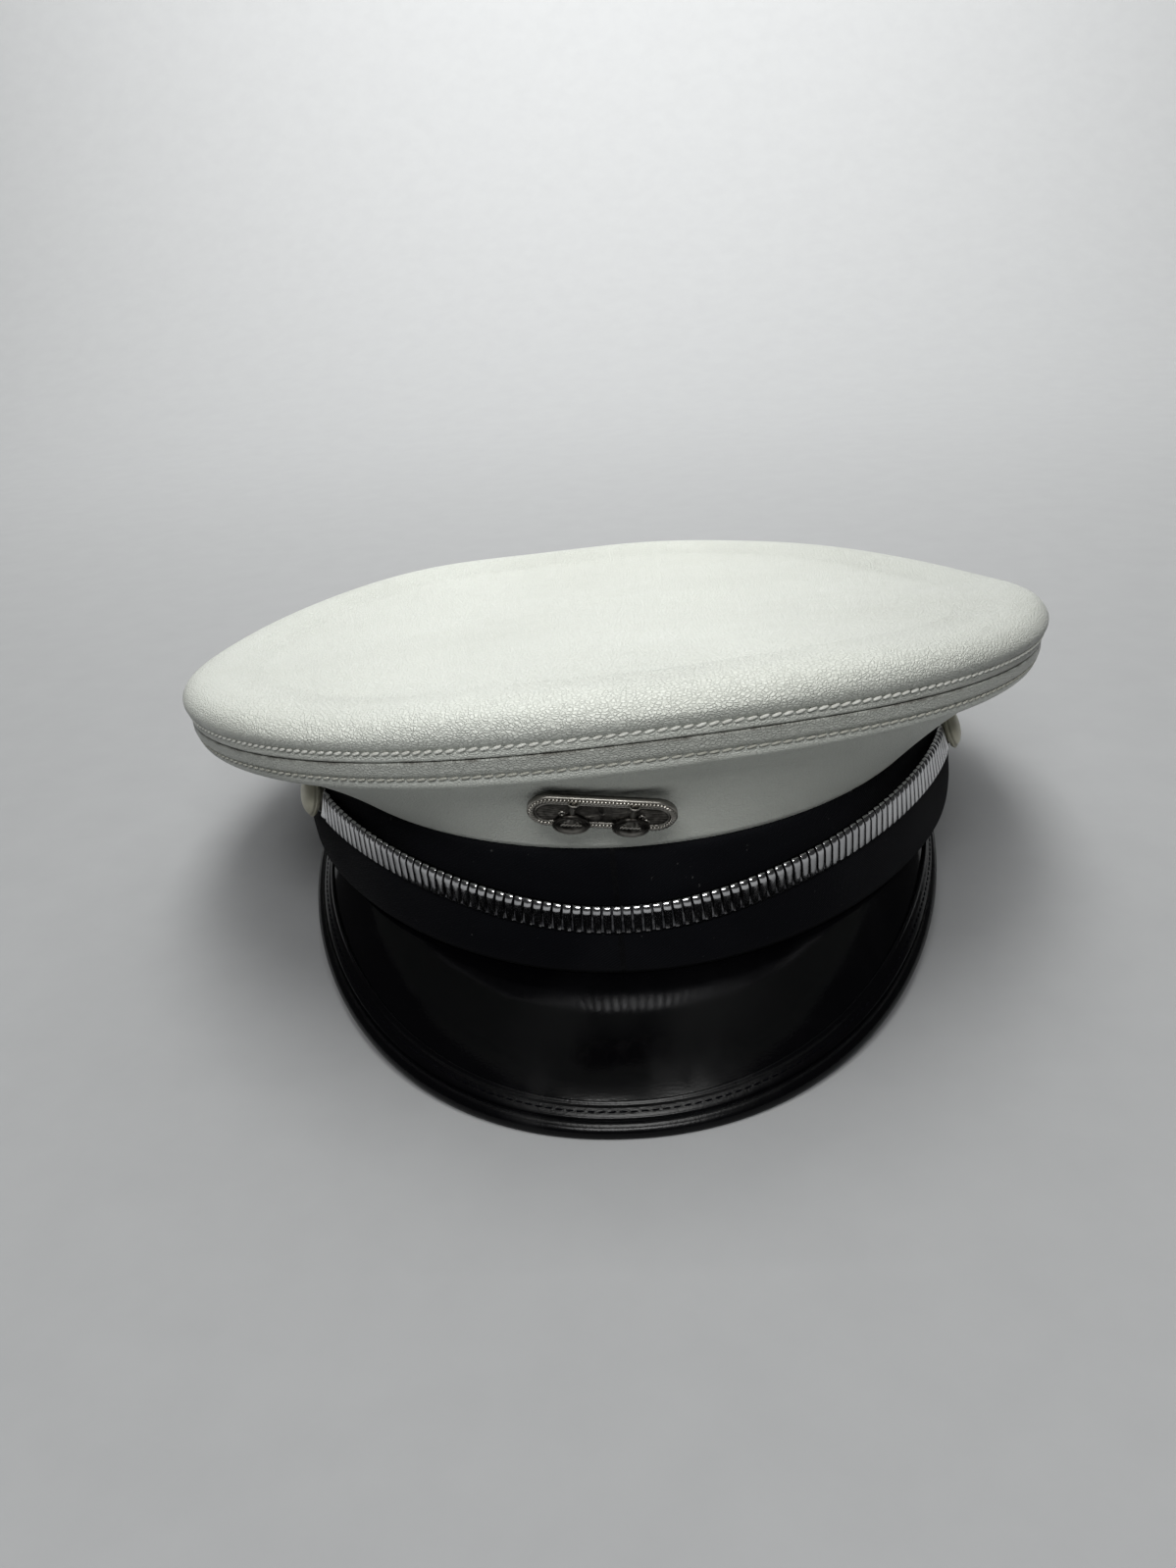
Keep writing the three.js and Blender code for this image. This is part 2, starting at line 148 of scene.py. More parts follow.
def joinMeshes(parts):  # several (points, faces) as one
    points, faces, start = [], [], 0
    for somePoints, someFaces in parts:
        points.append(somePoints)
        faces += [tuple(start + i for i in face) for face in someFaces]
        start += len(somePoints)
    return np.vstack(points), faces


# small tools for node trees
def newMaterial(name):
    material = bpy.data.materials.new(name)
    material.use_nodes = True
    tree = material.node_tree
    return material, tree, tree.nodes["Principled BSDF"]


def setInputs(tree, node, inputs):  # each input takes a plain value or another node's output
    for key, value in inputs.items():
        if isinstance(value, bpy.types.NodeSocket):
            tree.links.new(value, node.inputs[key])
        else:
            node.inputs[key].default_value = value


def addNode(tree, kind, inputs=None, **settings):
    node = tree.nodes.new(kind)
    for key, value in settings.items():
        setattr(node, key, value)
    setInputs(tree, node, inputs or {})
    return node


def nodeOut(tree, kind, inputs=None, **settings):  # a new node's first output
    return addNode(tree, kind, inputs, **settings).outputs[0]


def objectPlace(tree, stretch=(1, 1, 1), turn=(0, 0, 0)):
    place = addNode(tree, "ShaderNodeTexCoord").outputs["Object"]
    return nodeOut(tree, "ShaderNodeMapping", {"Vector": place, "Scale": stretch, "Rotation": turn})


def noise(tree, place, scale, detail=2.0, roughness=0.5):
    return addNode(tree, "ShaderNodeTexNoise", {
        "Vector": place, "Scale": scale, "Detail": detail, "Roughness": roughness}).outputs["Fac"]


def mapped(tree, value, low, high, toLow=0.0, toHigh=1.0):
    return nodeOut(tree, "ShaderNodeMapRange", {
        "Value": value, "From Min": low, "From Max": high, "To Min": toLow, "To Max": toHigh})


def cloudy(tree, place, scale, detail, low, high, toLow=0.0, toHigh=1.0, roughness=0.5):  # noise in patches
    return mapped(tree, noise(tree, place, scale, detail, roughness), low, high, toLow, toHigh)


def sums(tree, kind, a, b):
    return nodeOut(tree, "ShaderNodeMath", {0: a, 1: b}, operation=kind)


def weighed(tree, *rows):  # the sum of some values, each times its share
    parts = [sums(tree, "MULTIPLY", value, share) for value, share in rows]
    total = parts[0]
    for part in parts[1:]:
        total = sums(tree, "ADD", total, part)
    return total


def waveBands(tree, place, scale, distortion, **settings):
    return addNode(tree, "ShaderNodeTexWave", {
        "Vector": place, "Scale": scale, "Distortion": distortion}, **settings)


def blended(tree, share, a, b):
    return addNode(tree, "ShaderNodeMix", {0: share, 6: a, 7: b}, data_type="RGBA").outputs[2]


def paint(tree, name):  # a value stored on the mesh's points
    return addNode(tree, "ShaderNodeAttribute", attribute_name=name).outputs["Fac"]


def bumped(tree, height, distance, strength=1.0, under=None):
    inputs = {"Height": height, "Distance": distance, "Strength": strength}
    if under is not None:
        inputs["Normal"] = under
    return nodeOut(tree, "ShaderNodeBump", inputs)


vinylLook = {
    "white": (0.70, 0.725, 0.67, 1), "shade": (0.62, 0.64, 0.585, 1), "soilAndShade": (0.20, 0.19, 0.165, 1),
    "speck": (0.20, 0.18, 0.15, 1), "paintedShade": (0.04, 0.04, 0.036, 1), "shine": 0.4,
    "roughClouds": (90.0, 3.0, 0.3, 0.7, 0.28, 0.42),  # scale, detail, noise from and to, value from and to
    "shadeClouds": (11.0, 3.0, 0.35, 0.75), "grimeClouds": (240.0, 4.0, 0.38, 0.66),
    "spots": (((-0.012, -0.045, 0.0755), 0.0006), ((-0.004, 0.09, 0.058), 0.0008)),  # place, size
    "cells": 1000, "drawn": 1.8, "wobbleScale": 700.0, "wobble": 0.0007, "cellEdge": 0.22, "cellShare": 0.72,
    "fineGrain": (4000, 3.0, 0.6), "fineShare": 0.5, "grainDepth": 0.0004, "creaseWidth": 0.10,
    "creaseDark": 0.22, "swellScale": 55.0, "swellDepth": 0.0012, "swellShare": 0.25, "spotCore": 0.5,
    "spotDark": 0.6}


def makeVinyl(look):
    material, tree, shader = newMaterial("whiteVinyl")
    place = objectPlace(tree)
    wobble = addNode(tree, "ShaderNodeTexNoise", {
        "Vector": place, "Scale": look["wobbleScale"], "Detail": 2.0}).outputs["Color"]
    bent = nodeOut(tree, "ShaderNodeVectorMath", {0: wobble, 1: (look["wobble"],) * 3, 2: place},
                   operation="MULTIPLY_ADD")
    alongRim = (1, 1, look["drawn"])
    drawn = nodeOut(tree, "ShaderNodeMapping", {"Vector": bent, "Scale": alongRim})
    edge = nodeOut(tree, "ShaderNodeTexVoronoi", {"Vector": drawn, "Scale": look["cells"]},
                   feature="DISTANCE_TO_EDGE")
    cell = mapped(tree, edge, 0.0, look["cellEdge"])
    fine = noise(tree, place, *look["fineGrain"])
    height = weighed(tree, (cell, look["cellShare"]), (fine, look["fineShare"]))
    grain = bumped(tree, sums(tree, "MULTIPLY", height, paint(tree, "grain")), look["grainDepth"])
    waves = noise(tree, place, look["swellScale"])
    swell = bumped(tree, waves, look["swellDepth"], look["swellShare"], grain)
    tone = blended(tree, cloudy(tree, place, *look["shadeClouds"]), look["white"], look["shade"])
    # painted shade in the grain's creases
    creases = mapped(tree, edge, 0.0, look["creaseWidth"], look["creaseDark"], 0.0)
    tone = blended(tree, sums(tree, "MULTIPLY", creases, paint(tree, "grain")), tone, look["soilAndShade"])
    # soil along the seam and the scuff, painted shade along the stitch rows, both in patches
    grime = cloudy(tree, place, *look["grimeClouds"])
    tone = blended(tree, sums(tree, "MULTIPLY", paint(tree, "soilAndShade"), grime), tone, look["soilAndShade"])
    # painted shade: where the mesh's value is high the white is darkened towards a near black
    tone = blended(tree, paint(tree, "paintedShade"), tone, look["paintedShade"])
    dots = 0.0
    for spot, size in look["spots"]:  # a few dark specks on the top
        near = addNode(tree, "ShaderNodeVectorMath", {0: place, 1: spot}, operation="DISTANCE")
        dot = mapped(tree, near.outputs["Value"], size * look["spotCore"], size, look["spotDark"], 0.0)
        dots = sums(tree, "ADD", dot, dots)
    setInputs(tree, shader, {
        "Base Color": blended(tree, dots, tone, look["speck"]), "Normal": swell,
        "Roughness": cloudy(tree, place, *look["roughClouds"]),
        "Specular IOR Level": look["shine"]})
    return material


clothLook = {
    "thread": (0.0024, 0.0026, 0.0038, 1), "worn": (0.008, 0.0084, 0.0102, 1), "lint": (0.10, 0.10, 0.10, 1),
    "weave": 0.0007, "twillTurn": 52.0, "twillWobble": 0.6, "twillDetail": 1.0, "twillShare": 0.6,
    "crossings": 1.6, "crossWobble": 0.4, "crossShare": 0.3, "fuzz": (1900.0, 4.0, 0.7), "fuzzShare": 0.5,
    "depth": 0.00016, "bumpShare": 0.9, "slackScale": 60.0, "slackDepth": 0.0006, "slackShare": 0.4,
    "wornClouds": (35.0, 4.0, 0.45, 0.8, 0.0, 0.5), "rubbedShare": 0.8,
    "lintClouds": (700.0, 1.0, 0.76, 0.84, 0.0, 0.5),
    "roughness": 0.92, "shine": 0.07, "sheen": 0.02, "sheenRoughness": 0.45}


def makeCloth(look):
    material, tree, shader = newMaterial("blackCloth")
    uv = nodeOut(tree, "ShaderNodeUVMap", uv_map="run")
    slant = (0, 0, math.radians(look["twillTurn"]))
    turned = nodeOut(tree, "ShaderNodeMapping", {"Vector": uv, "Rotation": slant})
    bands = fullTurn / look["weave"] / 20  # bands repeat every pi/10 of the scaled run
    twill = waveBands(tree, turned, bands, look["twillWobble"])
    twill.inputs["Detail"].default_value = look["twillDetail"]
    across = waveBands(tree, uv, bands * look["crossings"], look["crossWobble"])
    place = objectPlace(tree)
    fuzz = noise(tree, place, *look["fuzz"])
    height = weighed(tree, (twill.outputs["Fac"], look["twillShare"]),
                     (across.outputs["Fac"], look["crossShare"]), (fuzz, look["fuzzShare"]))
    slack = bumped(tree, noise(tree, place, look["slackScale"]), look["slackDepth"], look["slackShare"])
    rubbed = sums(tree, "MULTIPLY", paint(tree, "wear"), look["rubbedShare"])
    wear = sums(tree, "ADD", cloudy(tree, place, *look["wornClouds"]), rubbed)
    tone = blended(tree, wear, look["thread"], look["worn"])
    lint = cloudy(tree, place, *look["lintClouds"])
    setInputs(tree, shader, {
        "Base Color": blended(tree, lint, tone, look["lint"]), "Roughness": look["roughness"],
        "Normal": bumped(tree, height, look["depth"], look["bumpShare"], slack),
        "Specular IOR Level": look["shine"],
        "Sheen Weight": look["sheen"], "Sheen Roughness": look["sheenRoughness"]})
    return material


patentLook = {
    "black": (0.0009, 0.0009, 0.0013, 1), "dust": (0.010, 0.010, 0.011, 1), "gloss": 0.10, "smear": 0.24,
    "smearStretch": (1, 0.35, 1), "smearTurn": (0, 0, 0.5), "smearShare": 0.25,
    "smearClouds": (38.0, 5.0, 0.50, 0.78, 0.0, 1.0, 0.6),
    "dustClouds": (900.0, 3.0, 0.66, 0.80, 0.0, 0.5, 0.7),
    "shine": 0.22, "grainScale": 1500.0, "grainDepth": 0.000012, "grainShare": 0.8,
    "rippleScale": 48.0, "rippleDepth": 0.0007, "rippleShare": 0.30}
patentEdgeLook = {**patentLook, "gloss": 0.22, "smear": 0.40, "shine": 0.2, "grainDepth": 0.00005}


def makePatent(name, look):
    material, tree, shader = newMaterial(name)
    place = objectPlace(tree)
    wiped = objectPlace(tree, look["smearStretch"], look["smearTurn"])
    smear = cloudy(tree, wiped, *look["smearClouds"])
    dust = cloudy(tree, place, *look["dustClouds"])
    cover = sums(tree, "ADD", sums(tree, "MULTIPLY", smear, look["smearShare"]), dust)
    ripple = bumped(tree, noise(tree, place, look["rippleScale"]), look["rippleDepth"], look["rippleShare"])
    grain = noise(tree, place, look["grainScale"])
    setInputs(tree, shader, {
        "Base Color": blended(tree, cover, look["black"], look["dust"]),
        "Roughness": mapped(tree, smear, 0.0, 1.0, look["gloss"], look["smear"]),
        "Normal": bumped(tree, grain, look["grainDepth"], look["grainShare"], ripple),
        "Specular IOR Level": look["shine"]})
    return material


metalLooks = {
    "brightMetal": {
        "bright": (0.70, 0.70, 0.71, 1), "dull": (0.55, 0.55, 0.56, 1), "recess": (0.03, 0.03, 0.034, 1),
        "gloss": 0.12, "rough": 0.28, "scratches": 700.0, "metallic": 1.0},
    "buttonMetal": {
        "bright": (0.60, 0.58, 0.46, 1), "dull": (0.46, 0.44, 0.34, 1), "recess": (0.16, 0.15, 0.11, 1),
        "gloss": 0.36, "rough": 0.55, "scratches": 500.0, "metallic": 0.45},
    "badgeMetal": {
        "bright": (0.50, 0.48, 0.44, 1), "dull": (0.30, 0.285, 0.255, 1), "recess": (0.016, 0.014, 0.012, 1),
        "gloss": 0.24, "rough": 0.55, "scratches": 600.0, "metallic": 1.0}}
metalWear = {"patches": (130.0, 4.0, 0.36, 0.72, 0.0, 1.0, 0.6), "recessMottle": (700.0, 3.0, 0.2, 0.6, 0.7, 1.0),
             "scratchStretch": (1, 1, 0.12), "scratchDetail": (3.0, 0.6), "scratchBump": (0.00004, 0.5)}


def makeMetal(name):
    look = metalLooks[name]
    material, tree, shader = newMaterial(name)
    place = objectPlace(tree)
    patches = cloudy(tree, place, *metalWear["patches"])
    tone = blended(tree, patches, look["bright"], look["dull"])
    # painted shade where the mesh's recess value is high: between the strap's links, on its backing, in the
    # buttons' groove and on the trumpets' bells; on the rest of the badge it darkens the field and hollows
    deep = sums(tree, "MULTIPLY", paint(tree, "recess"), cloudy(tree, place, *metalWear["recessMottle"]))
    drawn = objectPlace(tree, metalWear["scratchStretch"])
    lines = noise(tree, drawn, look["scratches"], *metalWear["scratchDetail"])
    setInputs(tree, shader, {
        "Base Color": blended(tree, deep, tone, look["recess"]), "Metallic": look["metallic"],
        "Roughness": mapped(tree, sums(tree, "ADD", patches, deep), 0.0, 2.0, look["gloss"], look["rough"]),
        "Normal": bumped(tree, lines, *metalWear["scratchBump"])})
    return material


threadLooks = {  # tone, dark tone, shine
    "whiteThread": ((0.84, 0.85, 0.79, 1), (0.70, 0.70, 0.64, 1), 0.4),
    # the lower row's thread is the white thread painted darker, as painted shade for the wall under the
    # overhang
    "shadedThread": ((0.52, 0.52, 0.46, 1), (0.38, 0.38, 0.33, 1), 0.3),
    "blackThread": ((0.004, 0.004, 0.005, 1), (0.002, 0.002, 0.003, 1), 0.0)}
threadWear = {"twist": (900.0, 2.0), "clouds": (500.0, 2.0, 0.35, 0.7), "roughness": 0.6,
              "bump": (0.00008, 0.7)}


def makeThread(name):
    tone, dark, shine = threadLooks[name]
    material, tree, shader = newMaterial(name)
    place = objectPlace(tree)
    twist = waveBands(tree, place, *threadWear["twist"], bands_direction="DIAGONAL").outputs["Fac"]
    worn = cloudy(tree, place, *threadWear["clouds"])
    setInputs(tree, shader, {
        "Base Color": blended(tree, worn, tone, dark), "Roughness": threadWear["roughness"],
        "Normal": bumped(tree, twist, *threadWear["bump"]), "Specular IOR Level": shine})
    return material


vinyl, cloth = makeVinyl(vinylLook), makeCloth(clothLook)
patent, patentEdge = makePatent("blackPatent", patentLook), makePatent("blackPatentEdge", patentEdgeLook)
brightMetal, buttonMetal, badgeMetal = (makeMetal(name) for name in metalLooks)
whiteThread, shadedThread, blackThread = (makeThread(name) for name in threadLooks)
print("materials made")


# one tree for what repeats along a path: stitches, links and rope strands
pathInputs = {"Path": "Geometry", "Item": "Object", "Pitch": "Float", "Length": "Float", "Width": "Float",
              "Depth": "Float", "Slant": "Float", "Uneven": "Float", "Seed": "Int", "Finish": "Material"}


def pathTree():
    tree = bpy.data.node_groups.new("alongPath", "GeometryNodeTree")
    sockets = {}
    for name, kind in pathInputs.items():
        socket = tree.interface.new_socket(name=name, in_out="INPUT", socket_type="NodeSocket" + kind)
        sockets[name] = socket.identifier
    tree.interface.new_socket(name="Made", in_out="OUTPUT", socket_type="NodeSocketGeometry")
    given = addNode(tree, "NodeGroupInput").outputs
    line = nodeOut(tree, "GeometryNodeMeshToCurve", {"Mesh": given["Path"]})
    line = nodeOut(tree, "GeometryNodeResampleCurve", {"Curve": line, "Length": given["Pitch"]},
                   mode="LENGTH")
    along = nodeOut(tree, "GeometryNodeInputTangent")
    outward = nodeOut(tree, "GeometryNodeInputNamedAttribute", {"Name": "outward"}, data_type="FLOAT_VECTOR")
    facing = nodeOut(tree, "FunctionNodeAxesToRotation", {"Primary Axis": along, "Secondary Axis": outward},
                     primary_axis="X", secondary_axis="Z")
    down = sums(tree, "MULTIPLY", given["Uneven"], -1.0)
    stray = addNode(tree, "FunctionNodeRandomValue", {2: down, 3: given["Uneven"], 8: given["Seed"]},
                    data_type="FLOAT").outputs[1]
    turn = nodeOut(tree, "ShaderNodeCombineXYZ", {"Z": sums(tree, "ADD", given["Slant"], stray)})
    turn = nodeOut(tree, "FunctionNodeEulerToRotation", {0: turn})
    facing = nodeOut(tree, "FunctionNodeRotateRotation", {0: facing, 1: turn}, rotation_space="LOCAL")
    size = nodeOut(tree, "ShaderNodeCombineXYZ", {
        "X": given["Length"], "Y": given["Width"], "Z": given["Depth"]})
    item = addNode(tree, "GeometryNodeObjectInfo", {"Object": given["Item"]}).outputs["Geometry"]
    placed = nodeOut(tree, "GeometryNodeInstanceOnPoints", {
        "Points": line, "Instance": item, "Rotation": facing, "Scale": size})
    plain = nodeOut(tree, "GeometryNodeRealizeInstances", {0: placed})
    made = nodeOut(tree, "GeometryNodeSetMaterial", {"Geometry": plain, "Material": given["Finish"]})
    addNode(tree, "NodeGroupOutput", {0: made})
    return tree, sockets


alongPath, alongSockets = pathTree()


def placeAlong(name, path, outward, closed, item, settings):  # the item is used up
    mesh = bpy.data.meshes.new(name + "Path")
    count = len(path)
    edges = [(i, (i + 1) % count) for i in range(count if closed else count - 1)]
    mesh.from_pydata((np.asarray(path) * mm).tolist(), edges, [])
    layer = mesh.attributes.new("outward", "FLOAT_VECTOR", "POINT")
    layer.data.foreach_set("vector", np.asarray(outward, float).ravel())
    holder = bpy.data.objects.new(name + "Path", mesh)
    bpy.context.collection.objects.link(holder)
    modifier = holder.modifiers.new("along", "NODES")
    modifier.node_group = alongPath
    values = {"Item": item, "Finish": item.data.materials[0], "Pitch": settings["pitch"] * mm,
              "Seed": settings.get("seed", 1)}
    for key in ("slant", "uneven"):
        values[key.capitalize()] = math.radians(settings.get(key, 0.0))
    for key in ("length", "width", "depth"):
        values[key.capitalize()] = settings[key] * mm if key in settings else 1.0
    for key, value in values.items():
        modifier[alongSockets[key]] = value
    bpy.context.view_layer.update()
    seen = holder.evaluated_get(bpy.context.evaluated_depsgraph_get())
    made = bpy.data.meshes.new_from_object(seen)
    made.name = name
    holder.modifiers.remove(modifier)
    bpy.data.objects.remove(holder)
    bpy.data.objects.remove(item)
    piece = bpy.data.objects.new(name, made)
    bpy.context.collection.objects.link(piece)
    return piece


def makeStrand(name, finish, segments=8, rings=5, fullness=0.7):  # a unit-long rounded thread or rope strand
    rows = []
    turns = evenTurns(segments)
    for i in range(1, rings):
        a = math.pi * i / rings
        reach = 0.5 * math.sin(a) ** fullness
        rows.append([(-0.5 * math.cos(a), reach * math.cos(t), reach * math.sin(t)) for t in turns])
    points, faces = domeMesh(np.array(rows), (-0.5, 0, 0), (0.5, 0, 0))
    return makeObject(name, points / mm, faces, finish)


# the cap's own lines, the same sizes as its solids
bandFoot = {"halfWidth": 94.9, "halfLength": 107.0, "centreX": 2.9, "centreY": 10.2}
bandHead = {"halfWidth": 91.7, "halfLength": 108.5, "centreX": 1.7, "centreY": 15.5}
bandSize = {"backHeight": 40.0, "frontTop": 45.3, "frontBottom": 30.3, "frontDip": 16.5, "dipPower": 2.15,
            "restY": 95.0, "earBulge": 2.5, "wall": 2.8, "seatGap": 0.3}


def bandEdge(oval, angle, outset):
    return (oval["centreX"] + (oval["halfWidth"] + outset) * np.sin(angle),
            oval["centreY"] - (oval["halfLength"] + outset) * np.cos(angle))


def bandPoint(angle, share, outset):
    angle, share, outset = np.broadcast_arrays(np.asarray(angle, float), share, outset)
    footX, footY = bandEdge(bandFoot, angle, outset)
    headX, headY = bandEdge(bandHead, angle, outset)
    front = bandFoot["centreY"] - bandFoot["halfLength"]
    footZ = np.maximum(0, bandSize["frontBottom"] * (bandSize["restY"] - footY) / (bandSize["restY"] - front))
    forward = np.maximum(0, (bandFoot["centreY"] - footY) / bandFoot["halfLength"])
    footZ = footZ - bandSize["frontDip"] * forward ** bandSize["dipPower"]
    along = (headY - bandHead["centreY"] + bandHead["halfLength"]) / (2 * bandHead["halfLength"])
    headZ = bandSize["frontTop"] + (bandSize["backHeight"] - bandSize["frontTop"]) * along**2
    ears = bandSize["earBulge"] * 4 * share * (1 - share) * np.sin(angle) * np.abs(np.sin(angle))
    return np.stack([footX + (headX - footX) * share + ears, footY + (headY - footY) * share,
                     footZ + (headZ - footZ) * share], axis=-1)


def bandAxes(angle, share):  # along, up and outward on the band's face
    step = 1e-3
    along = unit(bandPoint(angle + step, share, 0) - bandPoint(angle - step, share, 0))
    up = bandPoint(angle, share + step, 0) - bandPoint(angle, share - step, 0)
    outward = unit(np.cross(along, up))
    return along, np.cross(outward, along), outward


crownSize = {"centreX": 0.5, "centreY": 13.1, "backTurn": 0.3, "rollInset": 20.0, "panelDish": 1.5,
             "rollTop": 9.8, "columns": 480, "panelRows": 44, "rollRows": 64, "sideRows": 46, "wallRows": 20,
             "wall": 1.5, "swell": 0.55, "swellSize": 95, "easeRows": 8, "easePasses": 14, "footInset": 0.5,
             "lipDepth": 7.0, "lipLean": 0.4, "wallHollow": 0.9, "wallUneven": 0.35, "upperStitch": 2.5,
             "lowerStitch": -4.2, "stitches": 290, "pucker": 0.32, "puckerReach": 0.8, "puckerWave": 0.5,
             "loose": 0.25, "looseSize": 60, "looseSeed": 5, "looseReach": 12, "swellSeed": 3,
             "swellFade": (5.5, 8.0), "wallSwell": 55, "wallSeed": 9, "firstRing": 0.03, "lastRing": 0.05,
             "underRows": 14, "ceilingRows": 9, "insideRows": 12}
rimRows = [(0, 123.2, 78.2), (30, 123.3, 77.4), (60, 121.2, 69.7), (90, 120.5, 59.6), (120, 121.3, 51.7),
           (150, 121.2, 49.6), (180, 121.8, 47.0), (210, 122.0, 47.9), (240, 121.1, 49.1), (270, 121.6, 52.3),
           (300, 122.5, 61.1), (330, 122.1, 70.2)]  # angle, reach, height
topRoll = [(1.2, 0.12), (0.35, 0.13), (0.02, 0.25), (-0.2, 0.6), (-0.28, 1.2), (-0.3, 2.0), (-0.35, 2.5),
           (-0.75, 3.2), (-1.35, 4.4), (-1.35, 5.8), (-0.4, 7.3), (1.2, 8.5), (3.8, 9.4), (8.5, 9.8),
           (14, 9.1), (20, 8.3)]  # inset, rise
topRollInside = [(20, 6.8), (14, 7.5), (9, 8.1), (5.2, 7.7), (2.9, 6.4), (1.7, 4.4), (1.8, 2.2), (2.4, 0.5)]
sideRoll = [(1.2, -0.12), (0.35, -0.13), (0.0, -0.25), (-0.12, -0.6), (-0.14, -1.4), (-0.1, -2.8),
            (0.3, -3.9), (0.42, -4.3), (0.5, -5.0), (1.0, -6.4), (2.2, -7.6), (4.0, -8.3), (5.6, -8.8)]
sideRollInside = [(7.4, -8.6), (4.9, -7.2), (3.0, -5.6), (2.1, -3.4), (2.2, -1.6), (2.6, -0.5)]


def aroundRim(column, angle):  # a closed smooth line through the rim's rows
    waves = np.fft.rfft([row[column] for row in rimRows]) / len(rimRows)
    half = len(rimRows) // 2
    total = np.full(np.shape(angle), waves[0].real)
    for k in range(1, half):
        total = total + 2 * (waves[k].real * np.cos(k * angle) - waves[k].imag * np.sin(k * angle))
    return total + waves[half].real * np.cos(half * angle)


def crownPoint(angle, reach, height):
    return np.stack([crownSize["centreX"] + reach * np.sin(angle),
                     crownSize["centreY"] - reach * np.cos(angle), height], axis=-1)


def rimPoint(angle, inset, rise):
    return crownPoint(angle, aroundRim(1, angle) - inset, aroundRim(2, angle) + rise)


def panelPoint(angle, share, drop):
    front, right, back, left = [aroundRim(2, math.radians(a)) for a in (0, 90, 180, 270)]
    middle = (front + right + back + left) / 4
    slope = (front - back) / 2 * np.cos(angle) + (right - left) / 2 * np.sin(angle)
    warp = aroundRim(2, angle) - middle - slope
    level = middle + crownSize["rollTop"] - crownSize["panelDish"] - drop
    return crownPoint(angle, (aroundRim(1, angle) - crownSize["rollInset"]) * share,
                      level + slope * share + warp * share**2)


def flatOutward(angle):
    return np.stack([np.sin(angle), -np.cos(angle), np.zeros_like(angle)], axis=-1)


badgeSize = {"width": 32.6, "height": 10.2, "turn": -9.0, "thickness": 1.4, "border": 2.2, "angle": -0.6,
             "wallShare": 0.43, "wallTop": (5.2, -8.4), "spacing": 13.0, "rays": 84, "rayRise": 0.32,
             "dome": 0.3}


def badgeFrame():  # its middle, and its axes across, up and outward
    angle = np.array([math.radians(badgeSize["angle"])])
    top = rimPoint(angle, *badgeSize["wallTop"])[0]
    foot = (bandPoint(angle, 1, -crownSize["footInset"]) + (0, 0, bandSize["seatGap"]))[0]
    across = np.array([math.cos(angle[0]), math.sin(angle[0]), 0])
    out = unit(np.cross(across, unit(top - foot)))
    up = np.cross(out, across)
    turn = math.radians(badgeSize["turn"])
    side = across * math.cos(turn) + up * math.sin(turn)
    rise = up * math.cos(turn) - across * math.sin(turn)
    place = top + (foot - top) * badgeSize["wallShare"] + out * bandSize["seatGap"]
    return place, np.stack([side, rise, out])


badgePlace, badgeAxes = badgeFrame()
around = evenTurns(crownSize["columns"])
noiseRadius = 100  # about the cap's own


def aroundNoise(angle, size, seed):
    return softNoise(np.cos(angle) * noiseRadius, np.sin(angle) * noiseRadius, size, seed)


def turnedEdge(angle):  # the edge under the seam hangs full at the front and shallow at the back
    return crownSize["backTurn"] + (1 - crownSize["backTurn"]) * (1 + np.cos(angle)) / 2


def rollWith(rows, angle, stitchRise):  # the roll's rings, drawn in a little at each stitch
    inset, rise = rows[:, 0][:, None], rows[:, 1][:, None]
    turned = turnedEdge(angle)[None] if stitchRise < 0 else np.ones_like(angle)[None]
    near = bell(rise, stitchRise, crownSize["puckerReach"])
    wave = crownSize["puckerWave"] * np.cos(crownSize["stitches"] * angle[None])
    draw = near * crownSize["pucker"] * (1 + wave)
    loose = crownSize["loose"] * aroundNoise(angle, crownSize["looseSize"], crownSize["looseSeed"])[None]
    loose = loose * bell(rise, 0, crownSize["looseReach"])
    return rimPoint(angle[None], inset + draw + loose, rise * turned)


def insideRings(table, count, turned):
    rows = curveThrough(table, count)
    return rimPoint(around[None], rows[:, 0][:, None], rows[:, 1][:, None] * turned[None])


def panelSwell(points):
    x, y = points[..., 0], points[..., 1]
    return crownSize["swell"] * softNoise(x, y, crownSize["swellSize"], crownSize["swellSeed"])


seamWearAndShade = {"seamAt": 0.1, "seamWidth": 0.45, "stitchWidth": 0.6, "seam": 0.9}
# right, left and rollEnds set painted shade: darker towards the top's sides and low on the roll at both ends;
# at the right it also stands for a soft soil smear
topWearAndShade = {"stitch": 0.25, "panel": 0.02, "panelGrain": 0.6, "right": 0.28, "left": 0.10, "rollEnds": 0.30,
           "rollMiddle": 5, "rightSpan": (30, 110), "leftSpan": (50, 110), "rollFall": (-8.5, -3.5)}
# aboveBadge is a painted shadow over the badge; left, right and turnedEdge set painted shade on the side
# walls and on the turned edge under the seam, most at the front; mark is a scuff
sideWearAndShade = {"stitch": 0.2, "mark": 0.35, "markTurn": (10.0, 2.4), "markRise": (-5.5, 1.5), "aboveBadge": 0.95,
            "badgeSpan": (-15.5, -11.5), "badgeRise": (5.2, 1.15), "left": 0.40, "right": 0.15,
            "sideSpan": (30, 80), "turnedEdge": 0.36, "edgeFoot": (-5.5, -4.3), "edgeTop": (0, 0.6),
            "edgeBack": 0.4, "grain": 0.75, "grainFade": 0.05, "grainLeast": 0.3}


